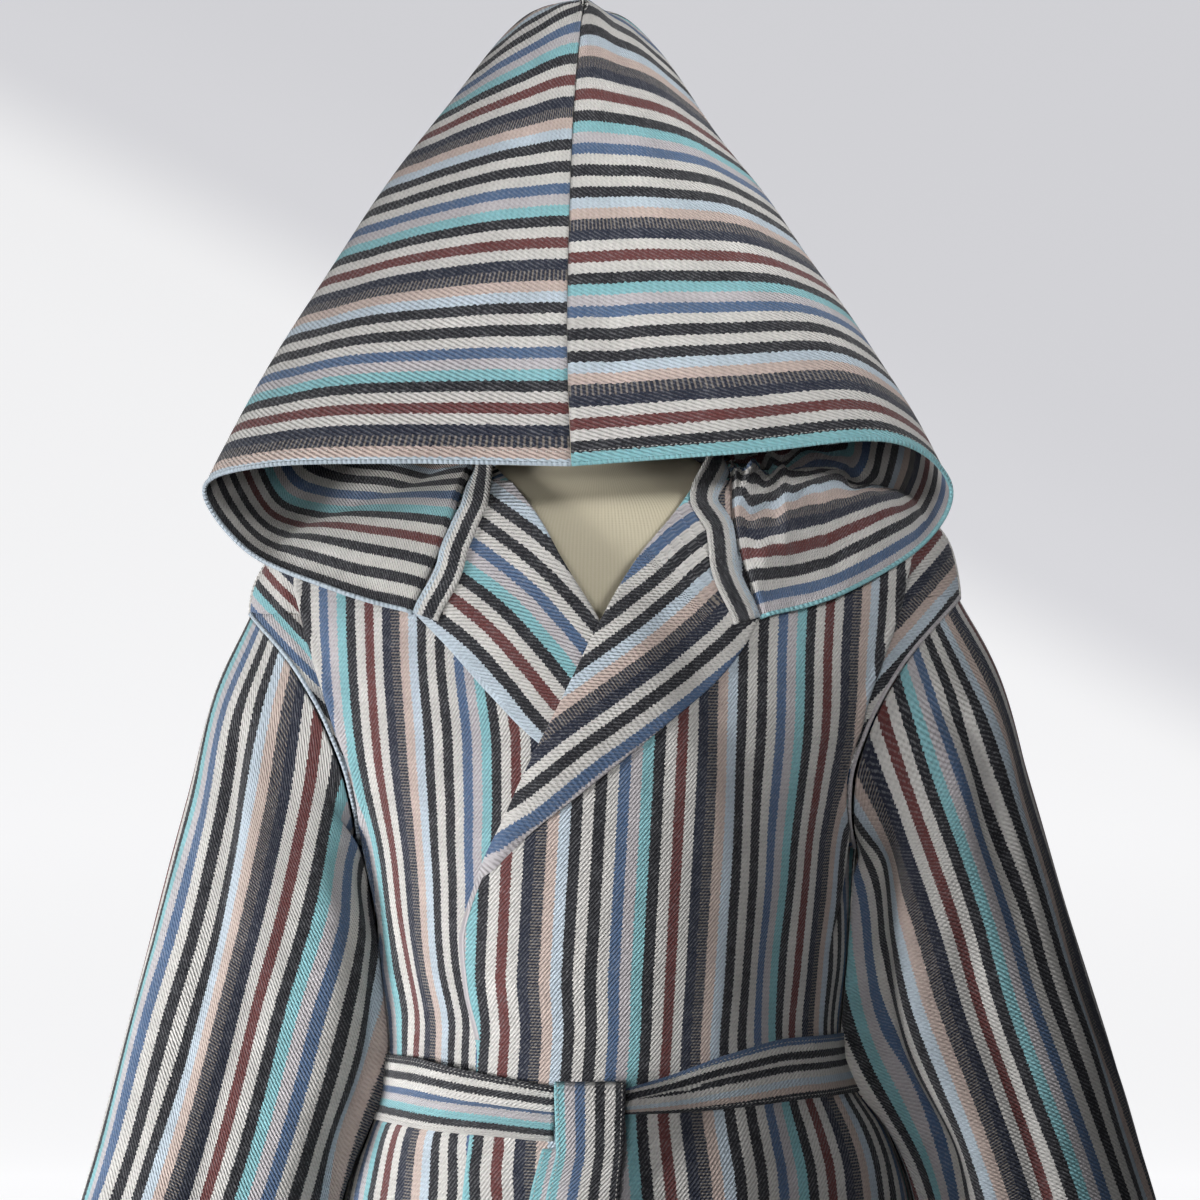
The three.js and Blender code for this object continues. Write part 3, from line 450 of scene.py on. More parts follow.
def to_mesh(name, grid, uvs, material, wall, closed=False, turned=False, inner=None):
    """One sheet on a grid of points, its outer face; uvs is a list of (mask of faces, coordinates).
    The wall is added inwards. Coordinates have one more column than a closed grid."""
    rows, columns = grid.shape[:2]
    spans = columns if closed else columns - 1
    i, j = np.meshgrid(np.arange(rows - 1), np.arange(spans), indexing="ij")
    corners = [(i, j), (i + 1, j), (i + 1, j + 1), (i, j + 1)]
    if turned:
        corners = corners[::-1]
    faces = np.stack([a * columns + b % columns for a, b in corners], -1).reshape(-1, 4)
    mesh = bpy.data.meshes.new(name)
    mesh.vertices.add(rows * columns)
    mesh.vertices.foreach_set("co", (grid.reshape(-1) * MM).astype(np.float32))
    mesh.loops.add(faces.size)
    mesh.loops.foreach_set("vertex_index", faces.reshape(-1).astype(np.int32))
    mesh.polygons.add(len(faces))
    mesh.polygons.foreach_set("loop_start", np.arange(0, faces.size, 4, dtype=np.int32))
    mesh.polygons.foreach_set("loop_total", np.full(len(faces), 4, dtype=np.int32))
    fill_layer(mesh, "cloth", uvs, corners)
    if inner:
        fill_layer(mesh, "inner", [(None, inner[1])], corners)
    mesh.update()
    mesh.validate()
    shade_smooth(mesh)
    obj = link(name, mesh)
    mesh.materials.append(material)
    if wall:
        solid = obj.modifiers.new("wall", "SOLIDIFY")
        solid.thickness = wall * MM
        solid.offset = -1
        solid.use_even_offset = False
        if inner:
            mesh.materials.append(inner[0])
            solid.material_offset = 1
    return obj


OUTER = {}  # a piece's name: the points and normals of its outer face
TRIMS = {}  # a piece's name: the trims sewn to it


def attach(obj, node=None):
    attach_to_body(obj, "root")
    if node:
        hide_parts(node)
    return obj


def piece(name, grid, uvs, material, node, wall=WALL, raise_by=0.0, closed=False, turned=False,
          inner=None):
    """A cloth piece whose inner face is the grid moved out by raise_by."""
    n = normals_of(grid, closed) * (-1 if turned else 1)
    outer = grid + n * (raise_by + wall)
    obj = to_mesh(name, outer, uvs, material, wall, closed, turned, inner)
    OUTER[name] = (outer, n)
    return attach(obj, node)


def edge_line(name, edge, distance=0.0, lift=0.0):
    """The line on a piece's outer face at a distance from one of its edges, and its normals."""
    grid, n = OUTER[name]
    if edge in ("first_column", "last_column"):
        grid, n = grid.transpose(1, 0, 2), n.transpose(1, 0, 2)
    if edge in ("last_row", "last_column"):
        grid, n = grid[::-1], n[::-1]
    line, up = grid[0], n[0]
    if distance:
        run = run_along(grid, 0)
        line, up = (np.array([[np.interp(distance, run[:, j], values[:, j, k]) for k in range(3)]
                              for j in range(run.shape[1])]) for values in (grid, n))
        up = unit(up)
    return line + up * lift, up


def even_points(line, up, pitch, closed=False):
    if closed:
        line, up = np.concatenate([line, line[:1]]), np.concatenate([up, up[:1]])
    run = run_along(line[:, None], 0)[:, 0]
    at = np.linspace(0, run[-1], max(int(run[-1] / pitch), 2))
    points, ups = (np.stack([np.interp(at, run, values[:, k]) for k in range(3)], -1)
                   for values in (line, up))
    return points, unit(ups), at


def add_trim(obj, owner):
    TRIMS.setdefault(owner, []).append(obj)
    return attach(obj)


def roll(name, owner, line, up, radius, stripe):
    """A rolled or felled edge: a thin round fold of the cloth along a line."""
    points, ups, run = even_points(line, up, ROLL_PITCH)
    along = unit(np.gradient(points, axis=0))
    across = np.cross(along, ups)
    turns = np.linspace(0, 2 * math.pi, ROLL_SIDES + 1)
    round_about = turns[None, :-1, None]
    rings = (points[:, None] + across[:, None] * (radius * np.cos(round_about))
             + ups[:, None] * (radius * np.sin(round_about)))
    closed_ends = [mix(points[k, None], rings[k], 0.05)[None] for k in (0, -1)]
    rings = np.concatenate([closed_ends[0], rings, closed_ends[1]])
    run = np.concatenate([run[:1] - 0.1, run, run[-1:] + 0.1])
    u, v = np.broadcast_arrays(stripe * STRIPE + turns[None, :] * radius * 0.2, run[:, None])
    obj = to_mesh(name, rings, [(None, np.stack([u, v], -1))], CLOTH, 0, closed=True, turned=True)
    return add_trim(obj, owner)


def stitches(name, owner, lines):
    """Rows of machine stitches: a short thread between each two holes."""
    verts, faces = [], []
    for line, up, closed in lines:
        points, ups, _ = even_points(line, up, STITCH_PITCH, closed)
        ways = unit(np.gradient(points, axis=0))
        for c, o, w in zip(points[1:-1], ups[1:-1], ways[1:-1]):
            half = w * STITCH_LENGTH / 2
            out, side = o * THREAD_RADIUS, np.cross(w, o) * THREAD_RADIUS
            first = len(verts)
            verts += [c - half, c + half, c + side, c - side, c + out, c - out]
            for a, b in ((2, 4), (4, 3), (3, 5), (5, 2)):
                faces += [(first, first + a, first + b), (first + 1, first + b, first + a)]
    mesh = bpy.data.meshes.new(name)
    mesh.from_pydata([tuple(v * MM) for v in verts], [], faces)
    shade_smooth(mesh)
    mesh.materials.append(THREAD)
    return add_trim(link(name, mesh), owner)


# ---- Materials
def linear(code):
    parts = [int(code[i:i + 2], 16) / 255 for i in (0, 2, 4)]
    return [c / 12.92 if c <= 0.04045 else ((c + 0.055) / 1.055) ** 2.4 for c in parts]


# A letter stands for a stripe: cream, charcoal (K), navy, blue (U), turquoise, pale blue, lilac,
# rose, maroon and, as =, ticking: navy with light bars. Colour and share of heathering.
YARNS = {
    "C": ("cfccc8", 0.15), "K": ("1d1d22", 0.80), "N": ("202536", 0.80), "U": ("50688a", 0.90),
    "T": ("87bdc4", 0.65), "P": ("becbd6", 0.45), "L": ("beb9bc", 0.45), "R": ("c6b3aa", 0.40),
    "M": ("673634", 0.75), "=": ("202536", 0.80),
}
WOVEN = "MCN=RPKCKCULTKC"
# From the lapels' outer edges inwards, and from the hood's rim inwards.
LAPEL_STRIPES = {RIGHT: "PKCMCKTLUCKCKPL=NCMC", LEFT: "LUCKCN=RPKCKCULTKCMC"}
HOOD_INSIDE = {RIGHT: "KCKCKCMCKTLUCKCKPR=NCMCKTLUCKC", LEFT: "LUCKCMCN=RPKCKCULTKCMCN=RPKCKC"}
SASH_STRIPES = {RIGHT: "KCKCULTKC", LEFT: "UCKCKCPRK"}  # from the top edge down; the last stripe of the left part, charcoal, is the under ply at the lower edge: its dark stripe with painted shade
TAPE_STRIPES = "PCKKC"
TAIL_STRIPES = "TLUCKCK"


class Value:
    """A node's output, with arithmetic that adds math nodes."""

    def __init__(self, nodes, socket):
        self.nodes, self.socket = nodes, socket

    def __add__(self, other):
        return self.nodes.math("ADD", self, other)

    def __sub__(self, other):
        return self.nodes.math("SUBTRACT", self, other)

    def __mul__(self, other):
        return self.nodes.math("MULTIPLY", self, other)

    def __truediv__(self, other):
        return self.nodes.math("DIVIDE", self, other)

    def sine(self):
        return self.nodes.math("SINE", self)

    def wave(self, length):
        """Sine of the value, a full turn for each length."""
        return (self * (2 * math.pi / length)).sine()

    def clamp(self, low=0, high=1):
        return self.nodes.math("MINIMUM", self.nodes.math("MAXIMUM", self, low), high)


OBJECT_COORDINATES = 3  # number of that output


class Nodes:
    """A new material and short calls for its node tree."""

    def __init__(self, name):
        self.material = bpy.data.materials.new(name)
        self.material.use_nodes = True
        self.tree = self.material.node_tree
        self.shader = self.tree.nodes["Principled BSDF"]

    def put(self, value, target):
        if isinstance(value, Value):
            self.tree.links.new(value.socket, target)
        else:
            target.default_value = value

    def node(self, kind, inputs=None, stops=None, **settings):
        """The outputs of a new node; stops are for a colour ramp."""
        node = self.tree.nodes.new(kind)
        for key, value in settings.items():
            setattr(node, key, value)
        for key, value in (inputs or {}).items():
            self.put(value, node.inputs[key])
        if stops:
            elements = node.color_ramp.elements
            elements.remove(elements[-1])
            elements[0].position, elements[0].color = stops[0]
            for position, colour in stops[1:]:
                elements.new(position).color = colour
        return [Value(self, output) for output in node.outputs]

    def shade(self, sockets):
        for name, value in sockets.items():
            self.put(value, self.shader.inputs[name])
        return self.material

    def split(self, vector):
        return self.node("ShaderNodeSeparateXYZ", {0: vector})

    def uv(self, name="cloth"):
        vector, = self.node("ShaderNodeUVMap", uv_map=name)
        return (vector, *self.split(vector)[:2])

    def place(self):
        return self.node("ShaderNodeTexCoord")[OBJECT_COORDINATES]

    def math(self, operation, *values):
        return self.node("ShaderNodeMath", dict(enumerate(values)), operation=operation)[0]

    def ramp(self, factor, stops):
        """Colour and alpha, constant between the stops."""
        outputs = self.node("ShaderNodeValToRGB", {0: factor}, stops)
        outputs[0].socket.node.color_ramp.interpolation = "CONSTANT"
        return outputs

    def mix(self, factor, a, b, blend="MIX"):
        return self.node("ShaderNodeMix", {0: factor, 6: a, 7: b}, data_type="RGBA",
                         blend_type=blend)[2]

    def blend(self, factor, code_a, code_b):
        return self.mix(factor, (*linear(code_a), 1), (*linear(code_b), 1))

    def noise(self, vector, scale, detail=2.0, roughness=0.5):
        return self.node("ShaderNodeTexNoise", {"Vector": vector, "Scale": scale, "Detail": detail,
                                                "Roughness": roughness})[0]

    def bump(self, height, strength, distance):
        return self.node("ShaderNodeBump", {"Height": height, "Strength": strength,
                                            "Distance": distance})[0]


def stripe_stops(stripes, centred):
    """Constant ramp stops: colour with the heathering in alpha, and the ticking's mask."""
    count = len(stripes)
    rows = [(max((i - (0.5 if centred else 0)) / count, 0), code) for i, code in enumerate(stripes)]
    if centred:
        rows.append(((count - 0.5) / count, stripes[0]))
    colours = [(place, (*linear(YARNS[code][0]), YARNS[code][1])) for place, code in rows]
    ticks = [(place, (1, 1, 1, 1) if code == "=" else (0, 0, 0, 1)) for place, code in rows]
    return colours, ticks


RIB_PITCH, TICK_PITCH, CRIMP_PITCH = 0.0029, 0.0022, 0.0036  # metres of cloth
# metres by which the stripes' edges are uneven, in patches and at each rib, and the ribs too
RAGGED, STEPPED, RIB_RAGGED = 0.0024, 0.00034, 0.0011
RIB_SLANT = 0.80
THREADS, LIGHT_THREAD, DARK_THREAD = 560, (*linear("a3a4a8"), 1), (0.085, 0.088, 0.10, 1)
TICK_THREAD = (*linear("b3a695"), 1)


def cloth_material(name, stripes, width, centred, uv_map="cloth"):
    """Striped twill. The map's first coordinate runs across the stripes, in metres; width is the
    width of all of them, repeated when centred is true."""
    m = Nodes(name)
    uv, u, v = m.uv(uv_map)
    ragged = m.noise(uv, 480, 2.0, 0.6)
    share = (u + (ragged - 0.5) * RAGGED + v.wave(RIB_PITCH) * STEPPED) / (width * MM)
    share = m.math("FRACT", share) if centred else share.clamp(0, 0.999)
    colours, ticks = stripe_stops(stripes, centred)
    stripe, heather = m.ramp(share, colours)
    ticked, _ = m.ramp(share, ticks)
    bars = (v.wave(TICK_PITCH) * 0.8 + (ragged * 1.6 - 0.75)).clamp() * 0.60
    colour = m.mix(bars * ticked, stripe, TICK_THREAD)
    # twill ribs climb across the stripe; light threads show on dark stripes and dark ones on light
    twill = (u + v * RIB_SLANT + (ragged - 0.5) * RIB_RAGGED).wave(RIB_PITCH)
    fleck = m.noise(uv, THREADS, 3.0, 0.72)
    patch = m.noise(uv, 120, 2.0, 0.6) * 1.2 - 0.6
    light = (twill * 0.46 + (fleck * 3.4 - 1.62) + patch).clamp() * 0.46
    colour = m.mix(light * heather, colour, LIGHT_THREAD)
    dark = (fleck * -3.4 + 1.72 - twill * 0.45).clamp() * 0.30
    colour = m.mix(dark, colour, DARK_THREAD)
    cloud = m.noise(uv, 34, 4.0, 0.6)
    crimp = (v * (2 * math.pi / CRIMP_PITCH) + cloud * 9.0).sine()
    tone = (cloud * 0.50 + 0.70) * (crimp * 0.05 + 0.97)
    grey, = m.node("ShaderNodeCombineXYZ", {0: tone, 1: tone, 2: tone})
    height = twill * 0.8 + crimp * 0.55 + fleck * 1.3
    return m.shade({
        "Base Color": m.mix(1.0, colour, grey, "MULTIPLY"),
        "Normal": m.bump(height, 0.8, 0.0005), "Roughness": fleck * 0.14 + 0.82,
        "Sheen Weight": 0.12, "Sheen Roughness": 0.5, "Specular IOR Level": 0.2,
    })


JERSEY_RIB, JERSEY_LOOP = 0.0023, 0.0016  # metres


def jersey_material():
    m = Nodes("form_jersey")
    uv, u, v = m.uv()
    fine = m.noise(uv, 900, 2.0)
    rib = u.wave(JERSEY_RIB)
    amount = (rib * 0.10 + (m.noise(uv, 14, 3.0) * 0.4 + 0.15) + fine * 0.25).clamp()
    height = v.wave(JERSEY_LOOP) * 0.25 + (fine * 0.5 + rib)
    return m.shade({"Base Color": m.blend(amount, "aea58d", "cbc2ab"), "Roughness": 0.82,
                    "Normal": m.bump(height, 0.22, 0.0003), "Sheen Weight": 0.15})


def thread_material():
    m = Nodes("sewing_thread")
    ply = m.noise(m.place(), 2600, 2.0)
    return m.shade({"Base Color": m.blend(ply, "8d8c8f", "d4d0c8"), "Roughness": 0.7,
                    "Normal": m.bump(ply, 0.4, 0.0002)})


def steel_material():
    m = Nodes("stand_steel")
    place = m.place()
    stretched, = m.node("ShaderNodeMapping", {0: place, "Scale": (60, 60, 900)})
    brushed = m.noise(stretched, 3.0, 4.0)
    return m.shade({
        "Base Color": m.mix(brushed, (0.50, 0.51, 0.53, 1), (0.68, 0.69, 0.71, 1)),
        "Roughness": m.noise(place, 9.0, 4.0) * 0.18 + (brushed * 0.12 + 0.18),
        "Normal": m.bump(brushed, 0.12, 0.0002), "Metallic": 1.0,
    })


LAPEL_PITCH, HOOD_PITCH = 7.9, 8.1  # mm, one stripe of the lapels and of the hood's inside
CLOTH = cloth_material("striped_cloth", WOVEN, REPEAT, True)
LAPEL_CLOTH, SASH_CLOTH, HOOD_LINING = {}, {}, {}
for side, name in SIDES.items():
    LAPEL_CLOTH[side] = cloth_material("lapel_cloth_" + name, LAPEL_STRIPES[side],
                                       LAPEL_PITCH * len(LAPEL_STRIPES[side]), False)
    SASH_CLOTH[side] = cloth_material("sash_cloth_" + name, SASH_STRIPES[side], SASH_WIDTH, False)
    HOOD_LINING[side] = cloth_material("hood_inside_" + name, HOOD_INSIDE[side],
                                       HOOD_PITCH * len(HOOD_INSIDE[side]), False, "inner")
TAPE_CLOTH = cloth_material("tape_cloth", TAPE_STRIPES, TAPE_WIDTH, False)
TAIL_CLOTH = cloth_material("tail_cloth", TAIL_STRIPES, TAIL_WIDTH, False)
JERSEY, THREAD, STEEL = jersey_material(), thread_material(), steel_material()


# ---- Robe panels
def panel_heights(side):
    tip = SHOULDER_TIP_Z[side]
    shoulder = np.linspace(NECK_Z, tip, SHOULDER_ROWS, endpoint=False)
    armhole = mix(UNDERARM_Z, tip, (1 + np.cos(np.linspace(0, math.pi, ARMHOLE_ROWS))) / 2)
    skirt = np.linspace(UNDERARM_Z, HEM_Z, SKIRT_ROWS)[1:]
    return np.concatenate([shoulder, armhole, skirt])


def side_angle(side, z, depth):
    tip = SHOULDER_TIP_Z[side]
    turn = np.arccos(np.clip((2 * z - tip - UNDERARM_Z) / (tip - UNDERARM_Z), -1, 1))
    armhole = np.arcsin(ARMHOLE_HALF_DEPTH * np.sin(turn) / depth)
    return np.maximum(armhole, SEAM_GAP / 2 / depth)


# Behind the arm fold: the slant below level of the stripes, a point on one of them with that
# stripe's number, and the sheet's millimetres for one in the picture.
WEDGE = {RIGHT: (45, (-199.8, 1325.5, 8.0), STRIPE / 5.4),
         LEFT: (47, (212, 1312, 10.0), -STRIPE / 7.0)}
WEDGE_LOW = 1232
PAST = 9  # stands for a share that lies beyond the fold
TUCK = smooth([0, 0.12, 0.4, 0.7, 1], [0, 0.9, 1, 0.5, 0])
FRONT_RANGE, BACK_RANGE = (-4, 2.2), (-4, 2.4)  # mm that the looks may add to a panel
GROOVE, ROUNDING = 5.5, 2.0  # mm at the arm fold: the groove behind it and its rolled edge
FLAT_COLUMNS, TUCK_COLUMNS, BACK_COLUMNS = 112, 30, 170


def front_panel(side):
    z = panel_heights(side)[:, None]
    inner = front_angle(EDGE[side].x(z), z)
    reach = side_angle(side, z, BODY.front(z))
    outer = -reach if side == LEFT else -math.pi + reach
    folded = front_angle(side * ARM_FOLD.on(side)(z), z)
    turn_in = side * np.minimum(side * folded, side * outer - 0.05)
    # columns from the front edge to the arm fold, and on to the seams
    flat_t = np.linspace(0, 1, FLAT_COLUMNS)
    tuck_t = np.concatenate([[0.015, 0.035], np.linspace(0.06, 1, TUCK_COLUMNS)])
    angle = np.concatenate([mix(inner, turn_in, flat_t), mix(turn_in, outer, tuck_t)], 1)
    before = np.concatenate([flat_t, np.full_like(tuck_t, PAST)])[None, :]
    behind = np.concatenate([np.zeros_like(flat_t), tuck_t])[None, :]
    # nothing extra at the front edge, the seams, or where a lapel lies on the panel
    hold = smoothstep(before, 0, 0.06) * (1 - smoothstep(behind, 0.6, 1))
    under_lapel = 1 - smoothstep(z, 1235, 1275)
    extra = np.clip(crease(angle, z) * hold, *FRONT_RANGE) * mix(0.25, 1, under_lapel)
    folds_in = fold_step(z) / FOLD_STEP
    groove = np.exp(-((behind - 0.13) / 0.10) ** 2) * (before == PAST)
    extra += folds_in * (ROUNDING * np.exp(-((before - 0.985) / 0.018) ** 2) - GROOVE * groove)
    grid = front_point(side, angle, z, TUCK(behind), extra)
    plain = body_ring(angle, z, 0)
    length = run_along(plain, 1)
    table = STRIPES[side]
    zero = np.array([np.interp(side * table.x(height), side * row[:, 0], run)
                     for height, row, run in zip(z[:, 0], plain, length)])[:, None]
    along = (length - zero) * side  # grows towards the wearer's left
    u = along * REPEAT / np.where(along > 0, table.left(z), table.right(z))
    level = np.stack([u, -np.broadcast_to(z, u.shape)], -1)
    # behind the arm fold the cloth is tucked back and its stripes slant
    slant, (px, pz, number), scale = WEDGE[side]
    lean = slant * DEG
    climb = (grid[..., 0] - px) * -side * math.sin(lean) + (grid[..., 2] - pz) * math.cos(lean)
    crossing = grid[..., 0] * -side * math.cos(lean) - grid[..., 2] * math.sin(lean)
    slanting = np.stack([number * STRIPE + climb * scale, crossing], -1)
    faces = np.zeros((grid.shape[0] - 1, grid.shape[1] - 1), bool)
    faces[:, len(flat_t) - 1:] = z[:-1] > WEDGE_LOW
    if side == RIGHT:
        grid, level, slanting, faces = (each[:, ::-1] for each in (grid, level, slanting, faces))
    node = "front_" + SIDES[side]
    return piece(node + "_cloth", grid, [(None, level), (faces, slanting)], CLOTH, node)


def back_panel():
    left_z, right_z = panel_heights(LEFT)[:, None], panel_heights(RIGHT)[:, None]
    start = side_angle(LEFT, left_z, BODY.back(left_z))
    end = math.pi - side_angle(RIGHT, right_z, BODY.back(right_z))
    t = np.linspace(0, 1, BACK_COLUMNS)[None, :]
    angle = mix(start, end, t)
    z = mix(left_z, right_z, t)
    hold = smoothstep(t, 0, 0.06) * smoothstep(1 - t, 0, 0.06) * (1 - smoothstep(z, 1440, 1480))
    extra = np.clip(crease(angle, z), *BACK_RANGE) * hold
    grid = body_ring(angle, z, fold(angle, z, FOLDS) + extra)
    plain = body_ring(angle, z, 0)
    length = run_along(plain, 1)
    middle = np.array([np.interp(0, -row[:, 0], run) for row, run in zip(plain, length)])[:, None]
    uv = np.stack([length - middle + 3.5 * STRIPE, -z], -1)
    return piece("back_cloth", grid, [(None, uv)], CLOTH, "back")


# ---- Sleeves
def armhole_point(side, turn):
    tip = SHOULDER_TIP_Z[side]
    half = (tip - UNDERARM_Z) / 2 - 2 * SEAM_GAP - 0.5 * WALL
    depth = ARMHOLE_HALF_DEPTH - 2 * SEAM_GAP - 1.4 * WALL * np.abs(np.sin(turn))
    z = (tip + UNDERARM_Z) / 2 + half * np.cos(turn)
    y = side * depth * np.sin(turn)
    reach = np.where(y < 0, BODY.front(z), BODY.back(z))
    angle = np.arcsin(y / reach)
    lift = 3.6 * smoothstep(-np.cos(turn), -0.2, 0.9)
    return body_ring(angle if side == LEFT else math.pi - angle, z, lift)


# The stripes of a sleeve are straight in front view: they are measured round a level oval, from a
# maroon one; the columns are x on the side of the sleeve.
SLEEVE_OVAL = {
    RIGHT: Table(["z", "outer", "inner", "maroon"], [
        [846, 400, 196, 318], [902, 392, 190, 304], [997, 368, 178, 274], [1053, 353, 168, 258.9],
        [1110, 337, 160, 245], [1174, 322, 152, 228], [1226, 308, 146, 216.5],
        [1272, 296, 140, 207.5], [1320, 283, 134, 201], [1400, 262, 126, 190],
    ]),
    LEFT: Table(["z", "outer", "inner", "maroon"], [
        [850, 434, 230, 360], [905, 420, 220, 342], [997, 394, 204, 312], [1053, 377, 194, 291.7],
        [1110, 360, 182, 271], [1166, 342, 170, 255], [1219, 326, 160, 237.1],
        [1279, 307, 148, 216], [1317, 296, 140, 204], [1400, 270, 130, 182],
    ]),
}
# how far the sleeve's inner side falls back against the body, before and behind the arm
HUG = {RIGHT: (24, 75), LEFT: (0, 80)}
HUG_GAP = 2.8
OVAL_DEPTH, OVAL_STRETCH = 62, 1.045
SLEEVE_COLUMNS, SLEEVE_TOP_ROWS, SLEEVE_ROWS = 180, 34, 96


def tuck_behind(side, grid, across, share):
    """The inner side lies against the body, a little clear of it."""
    g = grid.copy()
    inward = smoothstep(-across, 0.1, 0.7) * smoothstep(share, 0.03, 0.14)
    x, y, z = side * g[..., 0], g[..., 1], g[..., 2]
    depth = np.where(y < 0, BODY.front(z), BODY.back(z))
    body = BODY.on(side)(z) * np.sqrt(np.clip(1 - (y / depth) ** 2, 0, 1))
    body = body + 4 * (1 - smoothstep(z, 1000, 1060)) + WALL + HUG_GAP
    target = np.maximum(x - mix(*HUG[side], smoothstep(y, -35, 25)), body)
    x = np.where(target < x, mix(x, target, inward), x)
    g[..., 0] = side * x
    return g


def sleeve_uvs(side, grid):
    x, y, z = np.moveaxis(closed_round(grid), -1, 0)
    oval = SLEEVE_OVAL[side]
    middle, reach = (oval.outer(z) + oval.inner(z)) / 2, (oval.outer(z) - oval.inner(z)) / 2
    turn = np.arctan2(-y / OVAL_DEPTH, (x * side - middle) / reach)  # 90 degrees faces the front
    turn = np.where(turn < -math.pi / 2, turn + 2 * math.pi, turn)
    zero = np.arccos(np.clip((oval.maroon(z) - middle) / reach, -1, 1))
    steps = np.linspace(-math.pi, 1.5 * math.pi, 901)
    v = np.broadcast_to(run_along(grid, 0).mean(1)[:, None], z.shape)

    def around(turns):
        u = np.empty_like(z)
        for i, row_reach in enumerate(reach.mean(1)):
            step = np.hypot(row_reach * np.sin(steps), OVAL_DEPTH * np.cos(steps))
            arc = np.cumsum((step[1:] + step[:-1]) / 2 * (steps[1] - steps[0]))
            arc = np.concatenate([[0], arc])
            u[i] = np.interp(turns[i], steps, arc) - np.interp(zero[i], steps, arc)
        return np.stack([u * side * OVAL_STRETCH, v], -1)

    # the oval opens at the back of the arm; the faces on that line take the turns below zero
    corners = np.stack([turn[:-1, :-1], turn[1:, :-1], turn[:-1, 1:], turn[1:, 1:]])
    split = corners.max(0) - corners.min(0) > math.pi
    below_zero = np.where(turn > math.pi, turn - 2 * math.pi, turn)
    return [(None, around(turn)), (split, around(below_zero))]


def sleeve(side):
    turns = np.linspace(0, 2 * math.pi, SLEEVE_COLUMNS, endpoint=False)
    rings = [armhole_point(side, turns)]
    for ox, oz, ix, iz, half, my in SLEEVES[side]:
        outer, inner = np.array([side * ox, my, oz]), np.array([side * ix, my, iz])
        ring = (outer + inner) / 2 + (outer - inner) / 2 * np.cos(turns)[:, None]
        ring[:, 1] += side * half * np.sin(turns)
        rings.append(ring)
    ts = np.concatenate([np.linspace(0, 0.2, SLEEVE_TOP_ROWS, endpoint=False),
                         np.linspace(0.2, 1, SLEEVE_ROWS)])
    grid = catmull(np.array(rings), ts, True)
    n = normals_of(grid, True)
    degrees = turns[None, :] / DEG
    move = np.zeros(grid.shape[:2])
    for top, bottom, first, last, width, depth in SLEEVE_CREASES[side]:
        share = np.clip((ts - first) / (last - first), 0, 1)[:, None]
        away = (degrees - mix(top, bottom, share) + 180) % 360 - 180
        fade = smoothstep(ts, first, first + 0.18) * (1 - smoothstep(ts, last - 0.2, last))
        move += depth * np.exp(-(away / width) ** 2) * fade[:, None]
    toward_body = smoothstep(-side * n[..., 0], 0.55, 0.9)
    move = np.where(move > 0, move * (1 - toward_body), move)
    move += ripple(degrees * 1.3, grid[..., 2], 11 + side, 90)
    hold = smoothstep(ts, 0.0, 0.06)[:, None]
    grid = grid + n * (move * hold * (1 - 0.7 * toward_body))[..., None]
    grid = tuck_behind(side, grid, np.cos(turns)[None, :], ts[:, None])
    node = "sleeve_" + SIDES[side]
    return piece(node + "_cloth", grid, sleeve_uvs(side, grid), CLOTH, node, closed=True)


# ---- Hood, lapels and neck tape
def out_of_body(side, angle, z):
    here = front_point(side, angle, z)
    around = front_point(side, angle + 0.02, z) - here
    down = front_point(side, angle, z - 4) - here
    return unit(np.cross(down, around))


def neckline_place(side, share):
    """Angle and height of the seam line at a share of it, from the chest to the centre back."""
    from_side = NECKLINE[side].angle(share) * DEG
    return from_side if side == LEFT else math.pi - from_side, NECKLINE[side].z(share)


def neckline_point(side, share, height):
    place = neckline_place(side, share)
    return front_point(side, *place) + out_of_body(side, *place) * height


def clear_of_body(points, clearance):
    def level(p):
        width = np.where(p[..., 0] > 0, BODY.left(p[..., 2]), BODY.right(p[..., 2]))
        depth = np.where(p[..., 1] < 0, BODY.front(p[..., 2]), BODY.back(p[..., 2]))
        return np.hypot(p[..., 0] / width, p[..., 1] / depth) - 1

    p = points.copy()
    for _ in range(8):
        here = level(p)
        slope = np.stack([level(p + step) - here for step in np.eye(3)], -1)
        size = np.linalg.norm(slope, axis=-1)
        distance = here / size
        near = (distance < clearance) & (p[..., 2] <= NECK_Z + clearance)
        p += (slope / size[..., None]) * np.where(near, clearance - distance, 0)[..., None]
    return p


def from_line(points, line):
    """Distance in x and z from a polyline, and the length along it."""
    best = np.full(points.shape[:-1], 1e9)
    place = np.zeros(points.shape[:-1])
    run = 0.0
    line = np.array(line, float)
    for a, b in zip(line[:-1], line[1:]):
        d = b - a
        size = np.linalg.norm(d)
        t = np.clip(((points - a) @ d) / size ** 2, 0, 1)
        gap = np.linalg.norm(points - (a + t[..., None] * d), axis=-1)
        nearer = gap < best
        best = np.where(nearer, gap, best)
        place = np.where(nearer, run + t * size, place)
        run += size
    return best, place


HOOD_ROWS, HOOD_COLUMNS = 110, 120
HOOD_RIPPLE, COWL_RIPPLE, COWL_CRUMPLE, TROUGH = 2.3, 2.6, 2.2, 2.6  # mm
TROUGH_PLACE, TROUGH_WIDTH = 30, 14
HOOD_SPREAD, LINING_SPREAD = 0.95, 0.97  # mm of stripes for one of the hood
HOOD_SPAN = np.array([420.0, 300.0])  # mm along the rim and from the rim to the back
# number of the stripe at the rim, in the middle and at the side
HOOD_RIM_STRIPE = {RIGHT: (4.9, 6.3), LEFT: (11.6, 9.9)}
